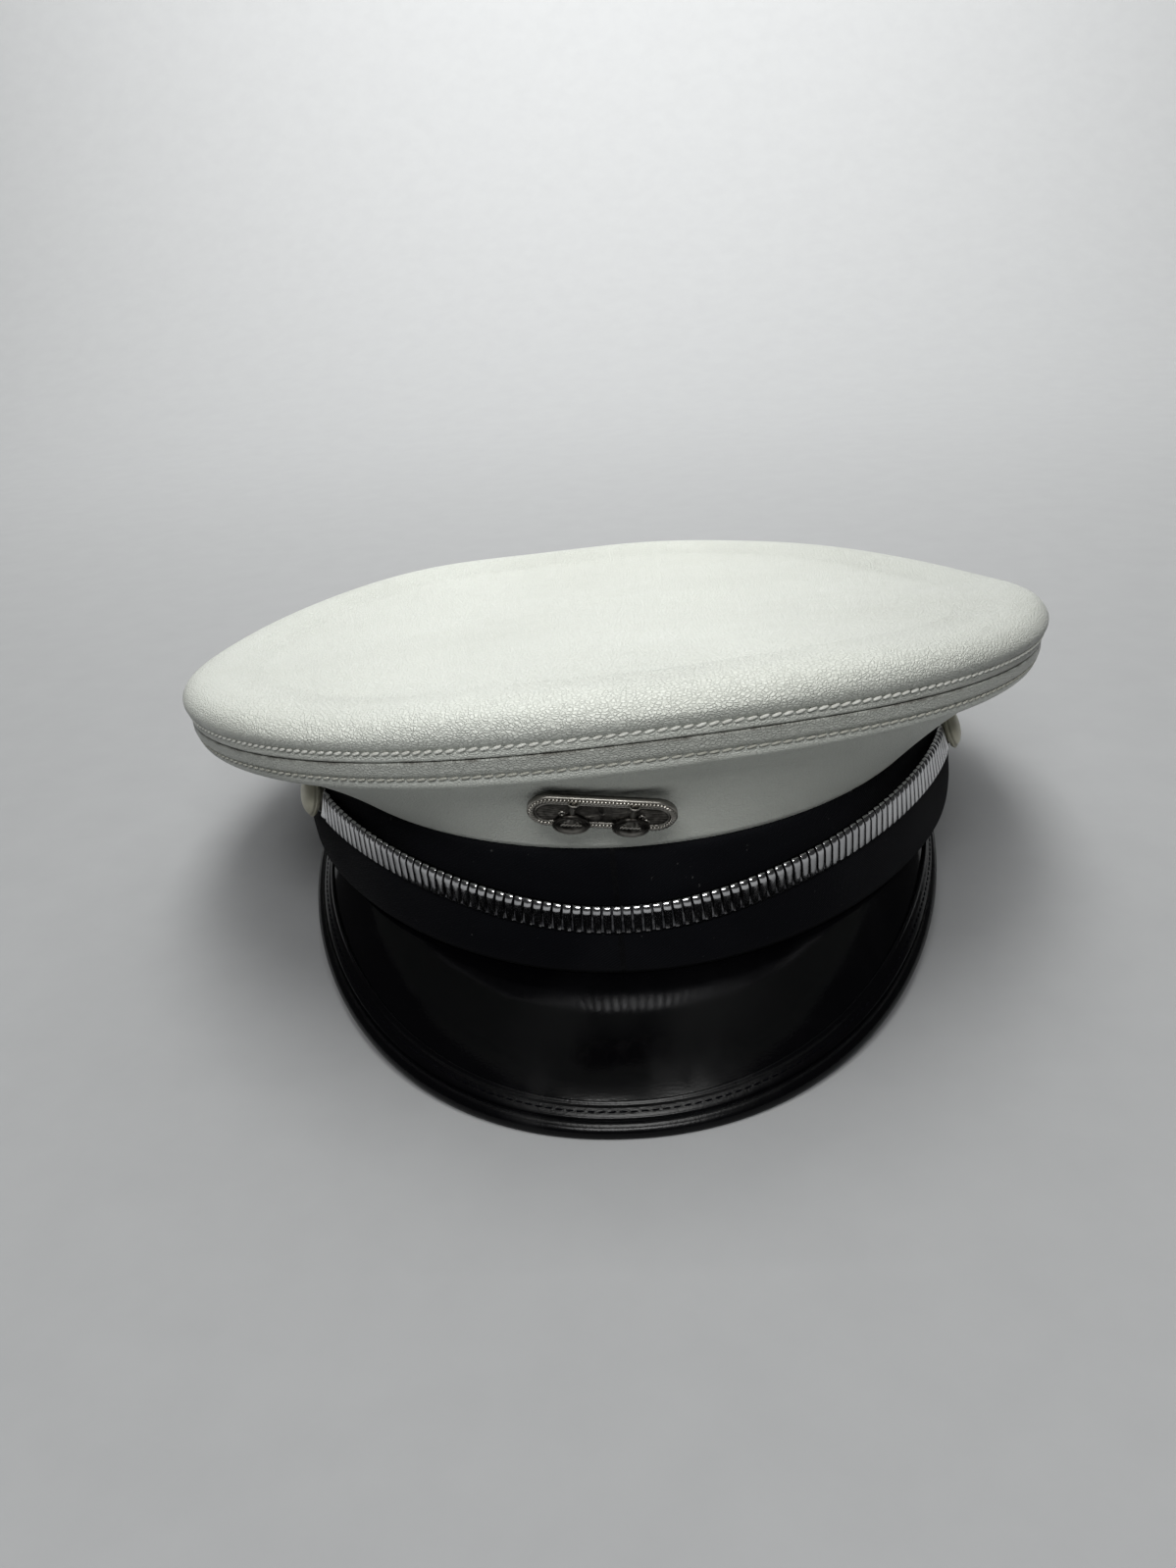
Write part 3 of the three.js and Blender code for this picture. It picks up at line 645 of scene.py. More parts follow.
def makeCrownTop():
    size = crownSize
    roll = rollWith(curveThrough(topRoll, size["rollRows"])[::-1], around, size["upperStitch"])
    panel = panelPoint(around[None], np.linspace(size["firstRing"], 1, size["panelRows"])[:-1, None], 0)
    outer = np.concatenate([panel, roll])
    level = outer[..., 2] - aroundRim(2, around)[None]
    onPanel = (np.arange(len(outer)) < len(panel))[:, None]
    outer[..., 2] += panelSwell(outer) * np.where(onPanel, 1, ramp(level, *size["swellFade"]))
    first, last = len(panel) - size["easeRows"], len(panel) + size["easeRows"]
    for _ in range(size["easePasses"]):  # ease the panel into the roll
        some = outer[first - 1:last + 1, :, 2]
        outer[first:last, :, 2] = (some[:-2] + 2 * some[1:-1] + some[2:]) / 4
    under = insideRings(topRollInside, size["underRows"], np.ones_like(around))[::-1]
    inward = np.linspace(size["lastRing"], 1, size["ceilingRows"])[::-1, None][1:]
    ceiling = panelPoint(around[None], inward, size["wall"])
    ceiling[..., 2] += panelSwell(ceiling)
    grid = np.concatenate([outer, under, ceiling])
    top, bottom = outer[0].mean(axis=0), ceiling[-1].mean(axis=0)
    points, faces = domeMesh(grid, top, bottom)
    rise = points[:, 2] - np.r_[np.tile(aroundRim(2, around), len(grid)), top[2], bottom[2]]
    row = np.arange(len(grid)) - len(panel)
    onRoll = np.r_[np.repeat((row >= 0) & (row < len(roll)), len(around)), False, False]
    least, middle = topWearAndShade["panelGrain"], topWearAndShade["rollMiddle"]
    onMiddle = 1 - np.abs(rise - middle) / middle
    grain = np.where(onRoll, np.clip(least + (1 - least) * onMiddle, least, 1.0), least)
    # soil on the seam line, painted shade along the upper stitch row
    lines = (seamWearAndShade["seam"] * bell(rise, seamWearAndShade["seamAt"], seamWearAndShade["seamWidth"])
             + topWearAndShade["stitch"] * bell(rise, size["upperStitch"], seamWearAndShade["stitchWidth"]))
    soilAndShade = np.where(onRoll, lines, topWearAndShade["panel"])
    # painted shade towards the right and left of the top and low on the roll's ends, at the right also a soil
    # smear
    aside = points[:, 0]
    paintedShade = (topWearAndShade["right"] * ramp(aside, *topWearAndShade["rightSpan"])
           + topWearAndShade["left"] * ramp(-aside, *topWearAndShade["leftSpan"]))
    lowRoll = ramp(-rise, *topWearAndShade["rollFall"]) * onRoll
    paintedShade += topWearAndShade["rollEnds"] * ramp(np.abs(aside), *topWearAndShade["leftSpan"]) * lowRoll
    return makeObject("crownTop", points, faces, vinyl, {"grain": grain, "soilAndShade": soilAndShade, "paintedShade": paintedShade})


def makeCrownSide():
    size, gap = crownSize, (0, 0, bandSize["seatGap"])
    roll = rollWith(curveThrough(sideRoll, size["sideRows"]), around, size["lowerStitch"])
    foot = bandPoint(around, 1, -size["footInset"]) + gap
    fall = np.linspace(0, 1, size["wallRows"])[1:, None, None]
    wall = roll[-1][None] + (foot - roll[-1])[None] * fall
    uneven = aroundNoise(around, size["wallSwell"], size["wallSeed"])
    hollow = size["wallHollow"] + size["wallUneven"] * uneven
    wall = wall - flatOutward(around)[None] * (np.sin(math.pi * fall) * hollow[None, :, None])
    inner = bandSize["wall"] + bandSize["seatGap"]
    lipShare = 1 - size["lipDepth"] / bandSize["backHeight"]
    lip = [bandPoint(around, 1, -inner - size["lipLean"]) + gap, bandPoint(around, lipShare, -inner),
           bandPoint(around, lipShare, -inner - size["wall"]),
           bandPoint(around, 1, -inner - size["wall"] - size["lipLean"]) + gap]
    inside = insideRings(sideRollInside, size["insideRows"], turnedEdge(around))
    grid = np.concatenate([roll, wall, np.array(lip), inside])
    rise = (grid[..., 2] - aroundRim(2, around)[None]) / turnedEdge(around)[None]
    mark = bell(np.degrees(around), *sideWearAndShade["markTurn"])[None] * bell(rise, *sideWearAndShade["markRise"])
    # soil on the seam line and the scuff, painted shade along the lower stitch row
    soilAndShade = (seamWearAndShade["seam"] * bell(rise, -seamWearAndShade["seamAt"], seamWearAndShade["seamWidth"])
            + sideWearAndShade["stitch"] * bell(rise, size["lowerStitch"], seamWearAndShade["stitchWidth"])
            + sideWearAndShade["mark"] * mark)
    full = sideWearAndShade["grain"]
    grain = np.clip(full + sideWearAndShade["grainFade"] * rise, sideWearAndShade["grainLeast"], full)
    # painted shadow above the badge, and painted shade on the left and right walls and on the turned edge
    # under the seam
    aside, above, _ = np.moveaxis((grid - badgePlace) @ badgeAxes.T, -1, 0)
    overBadge = ramp(-np.abs(aside), *sideWearAndShade["badgeSpan"])
    paintedShade = sideWearAndShade["aboveBadge"] * overBadge * bell(above, *sideWearAndShade["badgeRise"])
    left, right = ramp(-grid[..., 0], *sideWearAndShade["sideSpan"]), ramp(grid[..., 0], *sideWearAndShade["sideSpan"])
    paintedShade += sideWearAndShade["left"] * left + sideWearAndShade["right"] * right
    onRoll = (np.arange(len(grid)) < len(roll))[:, None]
    onEdge = onRoll * ramp(rise, *sideWearAndShade["edgeFoot"]) * ramp(-rise, *sideWearAndShade["edgeTop"])
    frontal = sideWearAndShade["edgeBack"] + (1 - sideWearAndShade["edgeBack"]) * np.cos(around / 2) ** 2
    paintedShade = np.maximum(paintedShade, sideWearAndShade["turnedEdge"] * onEdge * frontal[None])
    return makeObject("crownSide", grid.reshape(-1, 3), ringFaces(*grid.shape[:2], True, True), vinyl,
                      {"grain": grain, "soilAndShade": soilAndShade, "paintedShade": paintedShade})


crownTop, crownSide = makeCrownTop(), makeCrownSide()
print("crown made:", len(crownTop.data.polygons), len(crownSide.data.polygons), "faces")

rimStitch = {"pitch": 2.7, "length": 2.3, "width": 0.78, "depth": 0.75, "slant": 13.0, "uneven": 3.0,
             "seed": 11, "proud": 0.34, "tableRows": 40, "pathPoints": 1440}
lowerRimStitch = {**rimStitch, "width": 0.62, "depth": 0.6, "slant": 8.0, "seed": 12}


def makeRimStitch(name, table, thread, settings):
    rise = crownSize[name]
    rows = curveThrough(table, settings["tableRows"])
    order = np.argsort(rows[:, 1])
    inset = np.interp(rise, rows[order, 1], rows[order, 0])
    angle = evenTurns(settings["pathPoints"])
    outward = flatOutward(angle)
    path = rollWith(np.array([[inset, rise]]), angle, rise)[0] + outward * settings["proud"]
    return placeAlong(name, path, outward, True, makeStrand(name + "Item", thread), settings)


upperStitch = makeRimStitch("upperStitch", topRoll[1:8], whiteThread, rimStitch)
lowerStitch = makeRimStitch("lowerStitch", sideRoll[1:10], shadedThread, lowerRimStitch)
print("rim stitches made")

bandLook = {"columns": 420, "rows": 26, "innerRows": 8, "slack": 0.22, "edge": 0.9, "edgeShare": 0.02,
            "wornShare": 0.03, "runLength": 0.64, "runHeight": 0.042, "slackHeight": 42, "slackSize": 38,
            "slackSeed": 21, "innerSpan": (0.985, 0.015)}


def makeBand():
    look = bandLook
    angle = evenTurns(look["columns"])
    shares = np.linspace(0, 1, look["rows"])[:, None]
    turned = look["edge"] * (np.exp(-shares / look["edgeShare"]) + np.exp(-(1 - shares) / look["edgeShare"]))
    swells = softNoise(angle[None] * noiseRadius, shares * look["slackHeight"], look["slackSize"],
                       look["slackSeed"])
    slack = look["slack"] * swells * np.sin(math.pi * shares)
    outer = bandPoint(angle[None], shares, -turned + slack)
    innerShares = np.linspace(*look["innerSpan"], look["innerRows"])[:, None]
    inner = bandPoint(angle[None], innerShares, -bandSize["wall"])
    grid = np.concatenate([outer, inner])
    along = np.linspace(0, look["runLength"], look["columns"], endpoint=False)
    rising = np.r_[shares[:, 0] * look["runHeight"], np.linspace(look["runHeight"], 0, look["innerRows"])]
    uv = np.stack(np.broadcast_arrays(along[None], rising[:, None]), axis=-1)
    worn = np.exp(-shares / look["wornShare"]) + np.exp(-(1 - shares) / look["wornShare"])
    wear = np.concatenate([worn, np.zeros((look["innerRows"], 1))]) + 0 * angle[None]
    faces = ringFaces(*grid.shape[:2], True, True)
    return makeObject("bandCloth", grid.reshape(-1, 3), faces, cloth, {"wear": wear}, uv)


bandCloth = makeBand()
print("band made")

peakSize = {"halfWidth": 89.0, "centreX": 1.3, "cornerY": 1.4, "reach": 136.2, "fullness": 0.953,
            "cornerAngle": 85.0, "cornerHeight": 11.0, "cornerCurl": 1.16, "cornerTuck": 8.0, "wall": 2.4,
            "bulge": 0.4, "edgeHeight": 1.9, "lift": 0.05, "columns": 200, "rows": 26, "edgeShare": 0.978,
            "axisLeast": 0.05}


def peakPoint(side, depth):  # side from -1 to 1, depth from the band to the edge
    size = peakSize
    side, depth = np.broadcast_arrays(np.asarray(side, float), np.asarray(depth, float))
    tuck = -bandSize["wall"] - size["cornerTuck"] * side**4
    below = np.array([0, 0, bandSize["seatGap"]])
    inner = bandPoint(side * math.radians(size["cornerAngle"]), 0, tuck) - below
    turn = side * math.pi / 2
    aside = np.sign(turn) * np.abs(np.sin(turn)) ** size["fullness"]
    curl = (1 - np.cos(turn)) ** size["cornerCurl"]
    outer = np.stack([size["centreX"] + size["halfWidth"] * aside,
                      size["cornerY"] - size["reach"] * np.cos(turn),
                      size["edgeHeight"] + size["cornerHeight"] * curl], axis=-1)
    point = inner + (outer - inner) * depth[..., None]
    point[..., 2] += size["bulge"] * 4 * depth * (1 - depth) * (1 - side**2)
    return point


def peakAxes(side, depth):  # outward along the board, and up from it
    step = 1e-3
    out = unit(peakPoint(side, depth) - peakPoint(side, depth - step))
    low, high = np.clip(side - step, -1, 1), np.clip(side + step, -1, 1)
    across = unit(peakPoint(high, depth) - peakPoint(low, depth))
    up = unit(np.cross(across, -out))
    up = up * np.sign(up[..., 2:3])
    level = np.cross(up, across)
    return level * np.sign(np.sum(level * out, axis=-1, keepdims=True)), up


def makePeak():
    side = np.linspace(-1, 1, peakSize["columns"])[:, None]
    depth = np.linspace(0.0, peakSize["edgeShare"], peakSize["rows"])[None]
    top = peakPoint(side, depth)
    _, up = peakAxes(side, np.maximum(depth, peakSize["axisLeast"]))
    bottom = top - up * peakSize["wall"]
    bottom[..., 2] = np.maximum(bottom[..., 2], peakSize["lift"])
    grid = np.concatenate([top, bottom[:, ::-1]], axis=1)
    return makeObject("peakBoard", *barMesh(grid), patent)


bindingSize = {"columns": 240, "beadRadius": 2.1, "beadSides": 20, "taper": 0.02, "taperLeast": 0.25}
flangeSection = [(-6.3, -0.1), (-6.15, 0.30), (-5.8, 0.46), (-5.4, 0.30), (-5.0, 0.26), (-4.6, 0.42),
                 (-4.2, 0.44), (-3.0, 0.42), (-2.3, 0.5), (-1.6, 0.3), (-1.6, -0.6),
                 (-6.2, -0.5)]  # outward, up


def makeBinding():
    side = np.linspace(-1, 1, bindingSize["columns"])
    edge = peakPoint(side, 1.0)
    out, up = peakAxes(side, np.ones_like(side))
    turns = evenTurns(bindingSize["beadSides"])
    ring = out[:, None] * np.cos(turns)[None, :, None] + up[:, None] * np.sin(turns)[None, :, None]
    bead = (edge - up * peakSize["wall"] / 2)[:, None] + ring * bindingSize["beadRadius"]
    bead[..., 2] = np.maximum(bead[..., 2], 0)
    taper = np.clip((1 - np.abs(side)) / bindingSize["taper"], bindingSize["taperLeast"], 1)[:, None]
    section = np.array(flangeSection)
    rise = (section[None, :, 1] * taper)[..., None]
    strip = edge[:, None] + out[:, None] * section[None, :, :1] + up[:, None] * rise
    return makeObject("peakBinding", *joinMeshes([barMesh(bead), barMesh(strip)]), patentEdge)


edgeStitch = {"pitch": 2.3, "length": 1.7, "width": 0.42, "depth": 0.36, "slant": 3.0, "uneven": 2.0,
              "seed": 31, "inset": 3.4, "proud": 0.46, "ends": 0.985, "pathPoints": 500}


def makeEdgeStitch():
    side = np.linspace(-edgeStitch["ends"], edgeStitch["ends"], edgeStitch["pathPoints"])
    out, up = peakAxes(side, np.ones_like(side))
    path = peakPoint(side, 1.0) - out * edgeStitch["inset"] + up * edgeStitch["proud"]
    return placeAlong("edgeStitch", path, up, False, makeStrand("edgeStitchItem", blackThread), edgeStitch)


peakBoard, peakBinding, edgeStitchRow = makePeak(), makeBinding(), makeEdgeStitch()
print("peak made")

# the links are darkened on their sides, as painted shade between the links, and a little on their faces
strapSize = {"pitch": 2.3, "linkWidth": 1.84, "round": 0.14, "turn": 6.5, "endAngle": 60.0,
             "frontShare": 0.47, "sideShare": 0.78, "sideEase": 0.6, "backing": 0.6, "backingHalf": 3.3,
             "backingGap": 0.02, "lift": 1.0, "tilt": 17.0, "sideTilt": 1.0, "tiltGain": 1.25,
             "tiltLoss": 0.1, "grime": 0.9, "faceShade": 0.1, "linkMiddle": (0, 0.3), "pathPoints": 700}
linkProfile = [(-3.85, 0.0), (-3.97, 0.2), (-3.85, 0.46), (-3.4, 0.60), (-1.6, 0.69), (0.2, 0.78),
               (1.9, 0.86), (2.4, 0.84), (2.9, 0.70), (3.4, 0.44), (3.75, 0.12), (3.95, -0.3),
               (3.85, -0.5)]  # up, out


def strapShare(angle):  # how high on the band the strap runs
    sine = np.sin(angle) ** 2
    sideways = sine * (1 + strapSize["sideEase"]) / (sine + strapSize["sideEase"])
    return strapSize["frontShare"] + (strapSize["sideShare"] - strapSize["frontShare"]) * sideways


def strapPath(angle, out):  # place, along, up and outward
    step = 1e-3
    share = strapShare(angle)
    ahead = bandPoint(angle + step, strapShare(angle + step), 0)
    along = unit(ahead - bandPoint(angle - step, strapShare(angle - step), 0))
    _, up, _ = bandAxes(angle, share)
    up = unit(up - along * np.sum(up * along, axis=-1, keepdims=True))
    outward = np.cross(along, up)
    return bandPoint(angle, share, 0) + outward * (bandSize["seatGap"] + out), along, up, outward


def strapSpot(degrees, out):  # the same at one angle, counted from the strap's middle
    angle = np.array([math.radians(strapSize["turn"] + degrees)])
    return (values[0] for values in strapPath(angle, out))


def makeLink():
    profile = np.array(linkProfile)
    middle = np.array(strapSize["linkMiddle"])
    edge = strapSize["round"]
    shrunk = profile - np.clip(profile - middle, -edge, edge)
    half = strapSize["linkWidth"] / 2
    sides = ((-half, shrunk), (edge - half, profile), (half - edge, profile), (half, shrunk))
    sections = np.array([np.column_stack([np.full(len(line), x), line]) for x, line in sides])
    dull, faceDark = strapSize["grime"], strapSize["faceShade"]  # painted shade between the links, a little on their faces
    dark = np.repeat([dull, faceDark, faceDark, dull], len(profile))
    return makeObject("strapLinkItem", *barMesh(sections), brightMetal, {"recess": dark})


def makeStrap():
    size = strapSize
    angle = np.radians(size["turn"] + np.linspace(-size["endAngle"], size["endAngle"], size["pathPoints"]))
    path, _, up, outward = strapPath(angle, size["lift"])
    frontal = np.clip(size["tiltGain"] * np.cos(angle) ** 2 - size["tiltLoss"], 0, 1)
    tilt = np.radians(size["sideTilt"] + (size["tilt"] - size["sideTilt"]) * frontal)[:, None]
    outward = outward * np.cos(tilt) - up * np.sin(tilt)  # the links look down, most at the front
    links = placeAlong("strapLinks", path, outward, False, makeLink(), {"pitch": size["pitch"]})
    path, _, up, outward = strapPath(angle[::3], 0.0)
    half, low, high = size["backingHalf"], size["backingGap"], size["backing"]
    strip = np.stack([path + up * rise + outward * out
                      for rise, out in ((-half, low), (-half, high), (half, high), (half, low))], axis=1)
    # the backing strip is painted in full shade
    dark = np.ones(strip.shape[:2])
    backing = makeObject("strapBacking", *barMesh(strip), brightMetal, {"recess": dark}, smooth=False)
    return links, backing


strapLinks, strapBacking = makeStrap()
print("strap made:", len(strapLinks.data.polygons), "faces")

endSize = {"width": 7.2, "buttonAngle": 66.0, "gapAngle": 0.6, "tailAngle": 3.0, "sections": 60,
           "roundFrom": 0.75, "roundLeast": 0.05, "lift": 0.05, "bevelWidth": 0.3, "bevelDepth": 0.2}
endRises = [(0.0, 0.9), (0.10, 1.45), (0.17, 1.5), (0.24, 0.8), (0.33, 0.75), (0.40, 1.25), (0.47, 0.8),
            (0.6, 0.7), (0.8, 0.7), (1.0, 0.6)]  # along the tab, height of its ridges
buttonSize = {"rows": 34, "segments": 56, "lift": 1.0, "grooveAt": 1.35, "grooveWidth": 0.3,
              "grooveFull": 1.3, "grooveDark": 0.8}
buttonProfile = [(0.0, 3.4), (1.6, 3.34), (3.1, 3.08), (4.4, 2.6), (5.2, 2.05), (5.7, 1.55), (5.85, 1.3),
                 (6.2, 1.2), (6.4, 0.9), (6.3, 0.5), (5.8, 0.0)]  # radius, height


def makeStrapEnd(name, sign):
    size = endSize
    start, stop = strapSize["endAngle"] + size["gapAngle"], size["buttonAngle"] + size["tailAngle"]
    sections = []
    for share, rise in curveThrough(endRises, size["sections"]):
        path, _, up, outward = strapSpot(sign * (start + (stop - start) * share), 0.0)
        past = max(0.0, share - size["roundFrom"]) / (1 - size["roundFrom"])  # the tail's end is round
        half = size["width"] / 2 * math.sqrt(max(size["roundLeast"], 1 - past**2))
        flat, low, shoulder = half - size["bevelWidth"], size["lift"], rise - size["bevelDepth"]
        loop = [(-half, low), (-half, shoulder), (-flat, rise), (0, rise), (flat, rise), (half, shoulder),
                (half, low), (0, low)]
        sections.append([path + up * a + outward * b for a, b in loop])
    return makeObject(name, *barMesh(np.array(sections)), brightMetal)


def makeButton(name, sign):
    size = buttonSize
    profile = [tuple(row) for row in curveThrough(buttonProfile, size["rows"])] + [(0.0, 0.0)]
    points, faces = latheMesh(profile, size["segments"])
    place, along, up, outward = strapSpot(sign * endSize["buttonAngle"], bandSize["seatGap"] + size["lift"])
    # painted shade in the groove round the button's side
    away = np.abs(points[:, 2] - size["grooveAt"]) / size["grooveWidth"]
    groove = np.clip(size["grooveFull"] - away, 0, 1)
    return makeObject(name, place + points @ np.stack([along, up, outward]), faces, buttonMetal,
                      {"recess": groove * size["grooveDark"]})


strapEndLeft, strapEndRight = makeStrapEnd("strapEndLeft", -1), makeStrapEnd("strapEndRight", 1)
buttonLeft, buttonRight = makeButton("buttonLeft", -1), makeButton("buttonRight", 1)
print("strap ends and buttons made")


def onBadge(points):
    return badgePlace + np.asarray(points, float) @ badgeAxes


def stadium(inset, count):  # an oblong outline with round ends
    radius = badgeSize["height"] / 2 - inset
    half = (badgeSize["width"] - badgeSize["height"]) / 2
    points = []
    for s in np.linspace(0, 4 * half + fullTurn * radius, count, endpoint=False):
        sign = 1 if s < 2 * half + math.pi * radius else -1  # the top and the left end, then the rest
        s = s if sign > 0 else s - 2 * half - math.pi * radius
        a = max(0.0, s - 2 * half) / radius
        points.append((sign * (half - min(s, 2 * half) - radius * math.sin(a)), sign * radius * math.cos(a)))
    return np.array(points)


plateSize = {"rows": 22, "pointsPerRay": 8, "firstRow": 0.04, "overlap": 0.1, "sink": 0.2, "rayFade": 1.6,
             "ridgeBright": 0.2, "poleDark": (0.5, 1.0)}
plateRim = [(2.1, 1.4, 0.8), (1.95, 1.75, 0.1), (1.75, 1.75, 0.1), (1.65, 1.4, 0.9), (1.1, 1.3, 1.0),
            (0.6, 1.35, 0.9), (0.45, 1.5, 0.3), (0.15, 1.45, 0.15), (0.0, 1.2, 0.3), (0.05, 0.1, 0.7),
            (0.3, 0.0, 0.8)]  # inset, height, how dark


def makeBadgePlate():
    size = badgeSize
    count = plateSize["pointsPerRay"] * size["rays"]
    rows, recess = [], []
    turn = np.arctan2(*stadium(0, count).T[::-1])
    ridge = 1 - np.abs((turn * size["rays"] / fullTurn) % 1 - 0.5) * 2
    for share in np.linspace(plateSize["firstRow"], 1, plateSize["rows"]):
        line = stadium(size["border"] - plateSize["overlap"], count) * share
        ray = size["rayRise"] * ridge * min(1, share * plateSize["rayFade"])
        height = size["thickness"] - plateSize["sink"] + size["dome"] * (1 - share**2) + ray
        rows.append(np.column_stack([line, height]))
        recess.append(1.0 - plateSize["ridgeBright"] * ridge)
    for inset, height, dark in plateRim:
        rows.append(np.column_stack([stadium(inset, count), np.full(count, height)]))
        recess.append(np.full(count, dark))
    points, faces = domeMesh(np.array(rows), (0, 0, size["thickness"] + size["dome"]), (0, 0, 0))
    return makeObject("badgePlate", onBadge(points), faces, badgeMetal,
                      {"recess": np.r_[np.concatenate(recess), plateSize["poleDark"]]})


ropeSize = {"pitch": 0.8, "length": 1.6, "width": 0.74, "depth": 1.0, "slant": 48.0, "uneven": 3.0,
            "seed": 41, "inset": 0.95, "height": 1.55, "pathPoints": 400}


def makeRope():
    line = stadium(ropeSize["inset"], ropeSize["pathPoints"])
    path = onBadge(np.column_stack([line, np.full(len(line), ropeSize["height"])]))
    outward = np.tile(badgeAxes[2], (len(line), 1))
    return placeAlong("badgeRope", path, outward, True, makeStrand("ropeItem", badgeMetal, 8, 6), ropeSize)


trumpetSize = {"rows": 26, "segments": 24, "dark": 0.2, "poleDark": (0.95, 0.6)}
trumpetRows = [(4.7, 2.0, 1.4), (4.2, 2.0, 1.3), (3.4, 1.9, 0.8), (2.8, 1.9, 0.62), (1.0, 1.9, 0.66),
               (-0.4, 1.85, 0.8), (-1.4, 1.7, 1.05), (-2.3, 1.5, 1.3)]  # up, out, radius
cupRows = [(-0.9, 0.25, 0.95), (-0.8, 0.6, 0.9), (0.05, 0.82, 0.3)]  # depth in the mouth, share, how dark
bellSize = {"rise": -3.3, "out": 1.15, "lean": 8.0, "scale": 1.1, "segments": 44, "shadedSpan": (-1.2, 0.3)}
bellProfile = [(0.0, 0.3, 1.0), (1.2, 0.4, 1.0), (2.2, 0.8, 1.0), (2.7, 1.15, 0.5), (2.9, 1.3, 0.05),
               (3.08, 1.2, 0.3), (3.2, 1.02, 0.9), (3.34, 1.05, 0.7), (3.5, 1.3, 0.05), (3.7, 1.2, 0.05),
               (3.78, 0.85, 0.2), (3.5, 0.2, 0.6), (2.0, -0.6, 0.8),
               (0.0, -1.0, 0.9)]  # radius, height, how dark (painted shade on the bell's body, its rims left bright)
loopSize = {"radius": 0.62, "thick": 0.26, "segments": 16, "sides": 6, "out": 2.0, "dark": 0.15}
loopSpots = {-1: ((-2.2, 0.4), (-2.0, -0.9), (1.2, -1.1), (2.3, -1.7)),
             1: ((2.0, 0.3), (3.1, -1.2), (1.0, -1.3), (-1.1, -1.1))}  # aside and up, beside each stem


def cordLoop(centre):
    size = loopSize
    turns, sides = evenTurns(size["segments"])[:, None], evenTurns(size["sides"])[None]
    reach = size["radius"] + size["thick"] * np.cos(sides)
    ring = np.broadcast_arrays(reach * np.cos(turns), reach * np.sin(turns), size["thick"] * np.sin(sides))
    points = (np.stack(ring, axis=-1) + centre).reshape(-1, 3)
    return points, ringFaces(size["segments"], size["sides"], True, True)


def trumpetStem(middle):
    rows = curveThrough(trumpetRows, trumpetSize["rows"])
    turns = evenTurns(trumpetSize["segments"])[:, None]
    centre = np.column_stack([np.full(len(rows), middle), rows[:, 0], rows[:, 1]])
    heading = unit(np.gradient(centre, axis=0))
    sideways = np.array([1.0, 0, 0])
    face = unit(np.cross(heading, sideways))
    rings = [c + r * (np.cos(turns) * sideways + np.sin(turns) * f)
             for c, r, f in zip(centre, rows[:, 2], face)]
    cup = [centre[0] - heading[0] * deep + share * (rings[0] - centre[0]) for deep, share, _ in cupRows]
    grid = np.array(cup + rings)
    dark = np.r_[[row[2] for row in cupRows], np.full(len(rings), trumpetSize["dark"])]
    dark = np.r_[np.repeat(dark, len(turns)), trumpetSize["poleDark"]]
    return domeMesh(grid, grid[0].mean(axis=0), grid[-1].mean(axis=0)), dark


def trumpetBell(middle):
    lean = math.radians(bellSize["lean"])
    axes = np.array([(1, 0, 0), (0, math.cos(lean), math.sin(lean)), (0, -math.sin(lean), math.cos(lean))])
    points, faces = latheMesh([row[:2] for row in bellProfile], bellSize["segments"])
    dark = np.repeat([row[2] for row in bellProfile[1:-1]], bellSize["segments"])
    dark = np.r_[dark, bellProfile[0][2], bellProfile[-1][2]]
    shadedTop = ramp(points[:, 1], *bellSize["shadedSpan"])  # painted shade on the upper half, only the lower rim is bright
    place = (middle, bellSize["rise"], bellSize["out"])
    return (bellSize["scale"] * points @ axes + place, faces), np.maximum(dark, shadedTop)


def makeTrumpets():
    made = []
    for sign, spots in loopSpots.items():
        middle = sign * badgeSize["spacing"] / 2
        made += [trumpetStem(middle), trumpetBell(middle)]
        for aside, rise in spots:
            loop = cordLoop((middle + aside, rise, loopSize["out"]))
            made.append((loop, np.full(len(loop[0]), loopSize["dark"])))
    points, faces = joinMeshes([mesh for mesh, _ in made])
    return makeObject("badgeTrumpets", onBadge(points), faces, badgeMetal,
                      {"recess": np.concatenate([dark for _, dark in made])})


badgePlate, badgeRope, badgeTrumpets = makeBadgePlate(), makeRope(), makeTrumpets()
print("badge made")

# the stage
stageLook = {"halfWidth": 1.05, "front": -1.2, "wallAt": 1.5, "sweep": 0.8, "wallTop": 2.6, "sweepRows": 24,
             "pale": (0.312, 0.317, 0.322, 1), "mottle": (0.301, 0.306, 0.311, 1), "roughness": 0.7,
             "shine": 0.2, "patches": (60.0, 5.0, 0.35, 0.7, 0.0, 1.0, 0.6)}


def makeFloor():
    look = stageLook
    material, tree, shader = newMaterial("paleFloor")
    patches = cloudy(tree, objectPlace(tree), *look["patches"])
    setInputs(tree, shader, {
        "Base Color": blended(tree, patches, look["pale"], look["mottle"]), "Roughness": look["roughness"],
        "Specular IOR Level": look["shine"]})
    sweep = [(look["front"], 0.0), (look["wallAt"] - look["sweep"], 0.0)]  # y, z
    for a in np.linspace(0, math.pi / 2, look["sweepRows"])[1:]:
        sweep.append((look["wallAt"] - look["sweep"] * (1 - math.sin(a)), look["sweep"] * (1 - math.cos(a))))
    sweep.append((look["wallAt"], look["wallTop"]))
    points = [(x / mm, y / mm, z / mm) for y, z in sweep for x in (-look["halfWidth"], look["halfWidth"])]
    faces = [(2 * i, 2 * i + 1, 2 * i + 3, 2 * i + 2) for i in range(len(sweep) - 1)]
    return makeObject("floorSweep", points, faces, material)


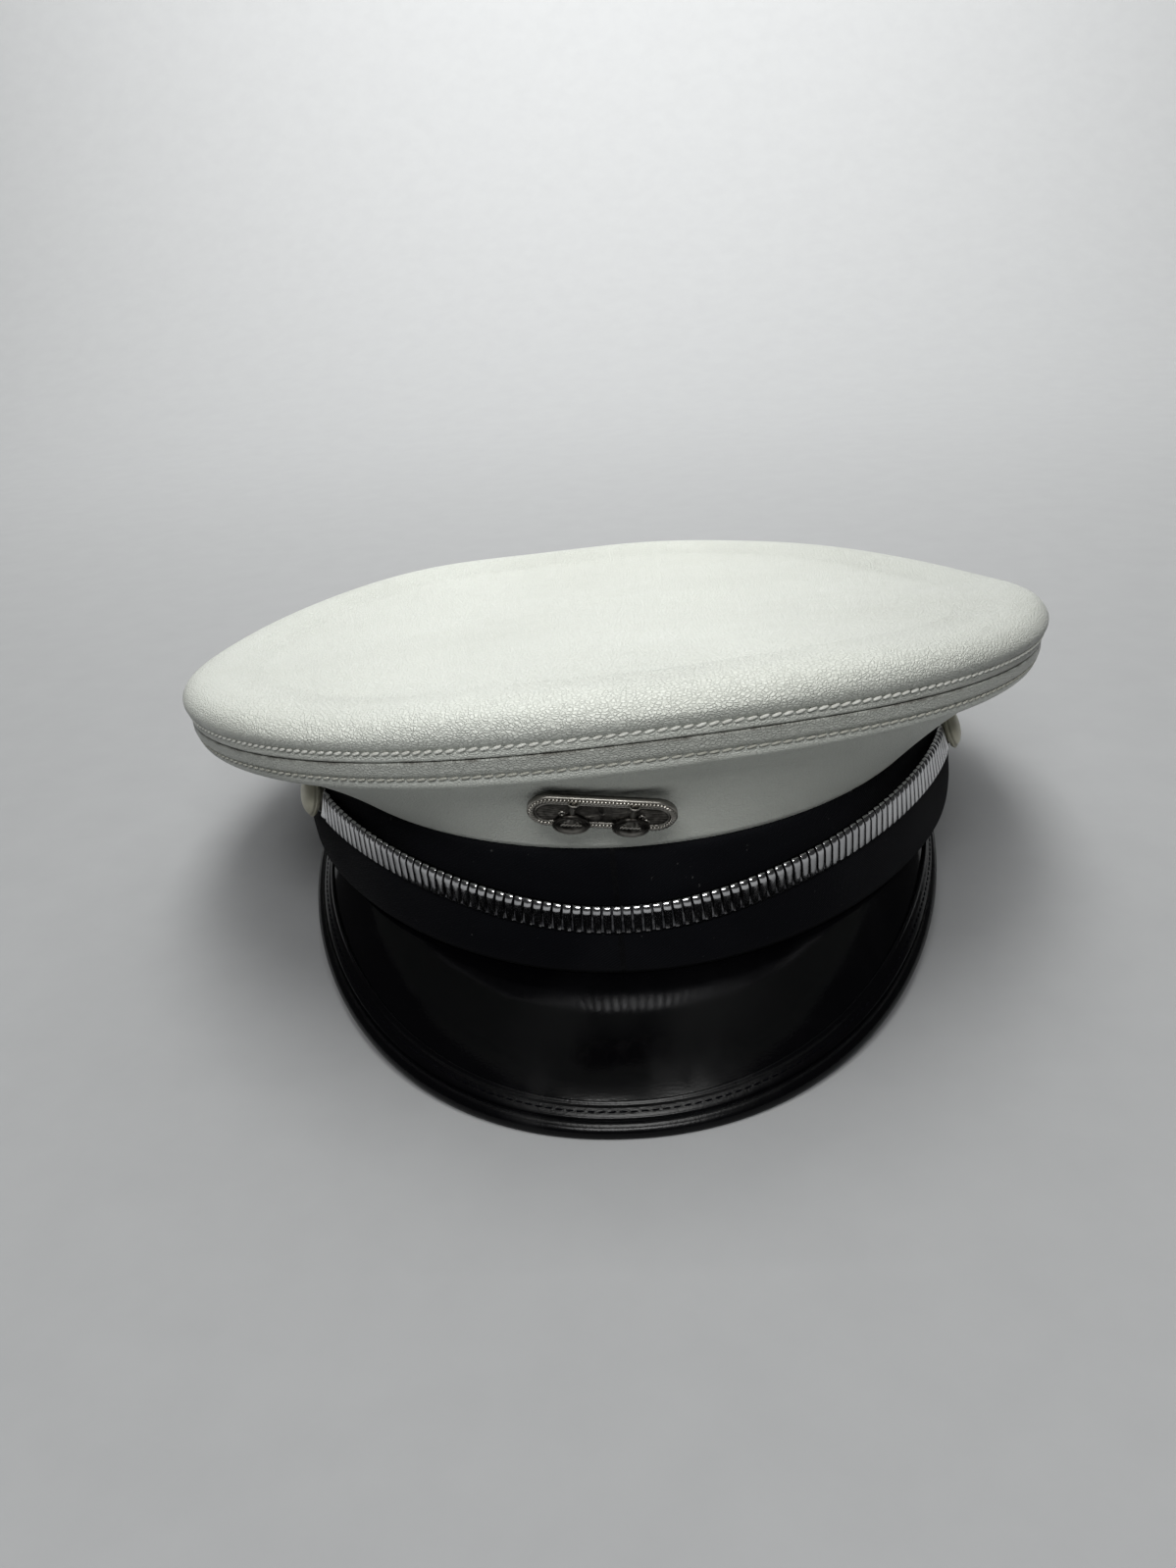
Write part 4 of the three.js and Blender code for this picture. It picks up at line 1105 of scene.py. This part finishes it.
floorSweep = makeFloor()
lightRows = [  # name, place, aim, width, depth, power, tint
    ("overhead", (0.0, 0.10, 1.1), (0.0, 0.10, 0.0), 0.35, 0.9, 9.3, (1.0, 1.0, 0.985)),
    ("frontDown", (0.0, -0.75, 0.8), (0.0, -0.5, 0.0), 0.6, 0.3, 6.8, (1.0, 1.0, 1.0)),
    ("backWash", (0.0, 0.75, 1.3), (0.0, 1.6, 0.6), 1.6, 0.4, 41.0, (1.0, 1.0, 0.99))]
airLook = {"Color": (0.75, 0.76, 0.77, 1), "Strength": 0.05}


def makeLights():
    for name, place, aim, width, depth, power, tint in lightRows:
        lamp = bpy.data.lights.new(name, "AREA")
        lamp.shape, lamp.size, lamp.size_y = "RECTANGLE", width, depth
        lamp.energy, lamp.color = power, tint
        holder = bpy.data.objects.new(name, lamp)
        holder.location = place
        holder.rotation_euler = (Vector(aim) - Vector(place)).to_track_quat("-Z", "Y").to_euler()
        bpy.context.collection.objects.link(holder)
    world = bpy.data.worlds.new("studioAir")
    world.use_nodes = True
    setInputs(world.node_tree, world.node_tree.nodes["Background"], airLook)
    bpy.context.scene.world = world


cameraLook = {"turn": 3.666, "lift": 25.654, "roll": -4.312, "distance": 322.7, "focal": 1227.3,
              "target": (-6.587, -40.57, 36.83), "imageHeight": 1599, "sensor": 36.0}


def makeCamera():
    turn, lift, roll = (math.radians(cameraLook[k]) for k in ("turn", "lift", "roll"))
    back = Vector((math.sin(turn) * math.cos(lift), -math.cos(turn) * math.cos(lift), math.sin(lift)))
    place = Vector(cameraLook["target"]) * mm + back * cameraLook["distance"] * mm
    right = (-back).cross(Vector((0, 0, 1))).normalized()
    up = right.cross(-back)
    tiltedRight = right * math.cos(roll) + up * math.sin(roll)
    tiltedUp = up * math.cos(roll) - right * math.sin(roll)
    lens = bpy.data.cameras.new("photoCamera")
    lens.sensor_width = cameraLook["sensor"]
    lens.lens = cameraLook["sensor"] * cameraLook["focal"] / cameraLook["imageHeight"]
    lens.clip_start = 0.01
    holder = bpy.data.objects.new("photoCamera", lens)
    turned = Matrix((tiltedRight, tiltedUp, back)).transposed().to_4x4()
    holder.matrix_world = Matrix.Translation(place) @ turned
    bpy.context.collection.objects.link(holder)
    bpy.context.scene.camera = holder


makeLights()
makeCamera()
bpy.context.scene.view_settings.view_transform = "Standard"
print("stage set")

pieces = [  # piece, finish slot, solids that it stands for
    (crownTop, "white_vinyl", ["crown_top"]), (crownSide, "white_vinyl", ["crown_side"]),
    (upperStitch, "white_vinyl", []), (lowerStitch, "white_vinyl", []),
    (bandCloth, "black_cloth", ["band"]), (peakBoard, "black_patent", ["peak"]),
    (peakBinding, "black_patent", ["peak_binding"]), (edgeStitchRow, "black_patent", []),
    (strapLinks, "bright_metal", ["strap"]), (strapBacking, "bright_metal", []),
    (strapEndLeft, "bright_metal", ["strap_end_left"]), (strapEndRight, "bright_metal", ["strap_end_right"]),
    (buttonLeft, "button_metal", ["side_button_left"]), (buttonRight, "button_metal", ["side_button_right"]),
    (badgePlate, "badge_metal", ["badge"]), (badgeRope, "badge_metal", []),
    (badgeTrumpets, "badge_metal", [])]
for piece, finish, nodes in pieces:
    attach(piece, "root")
    if nodes:
        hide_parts(*nodes)
print("pieces ride:", len(pieces))
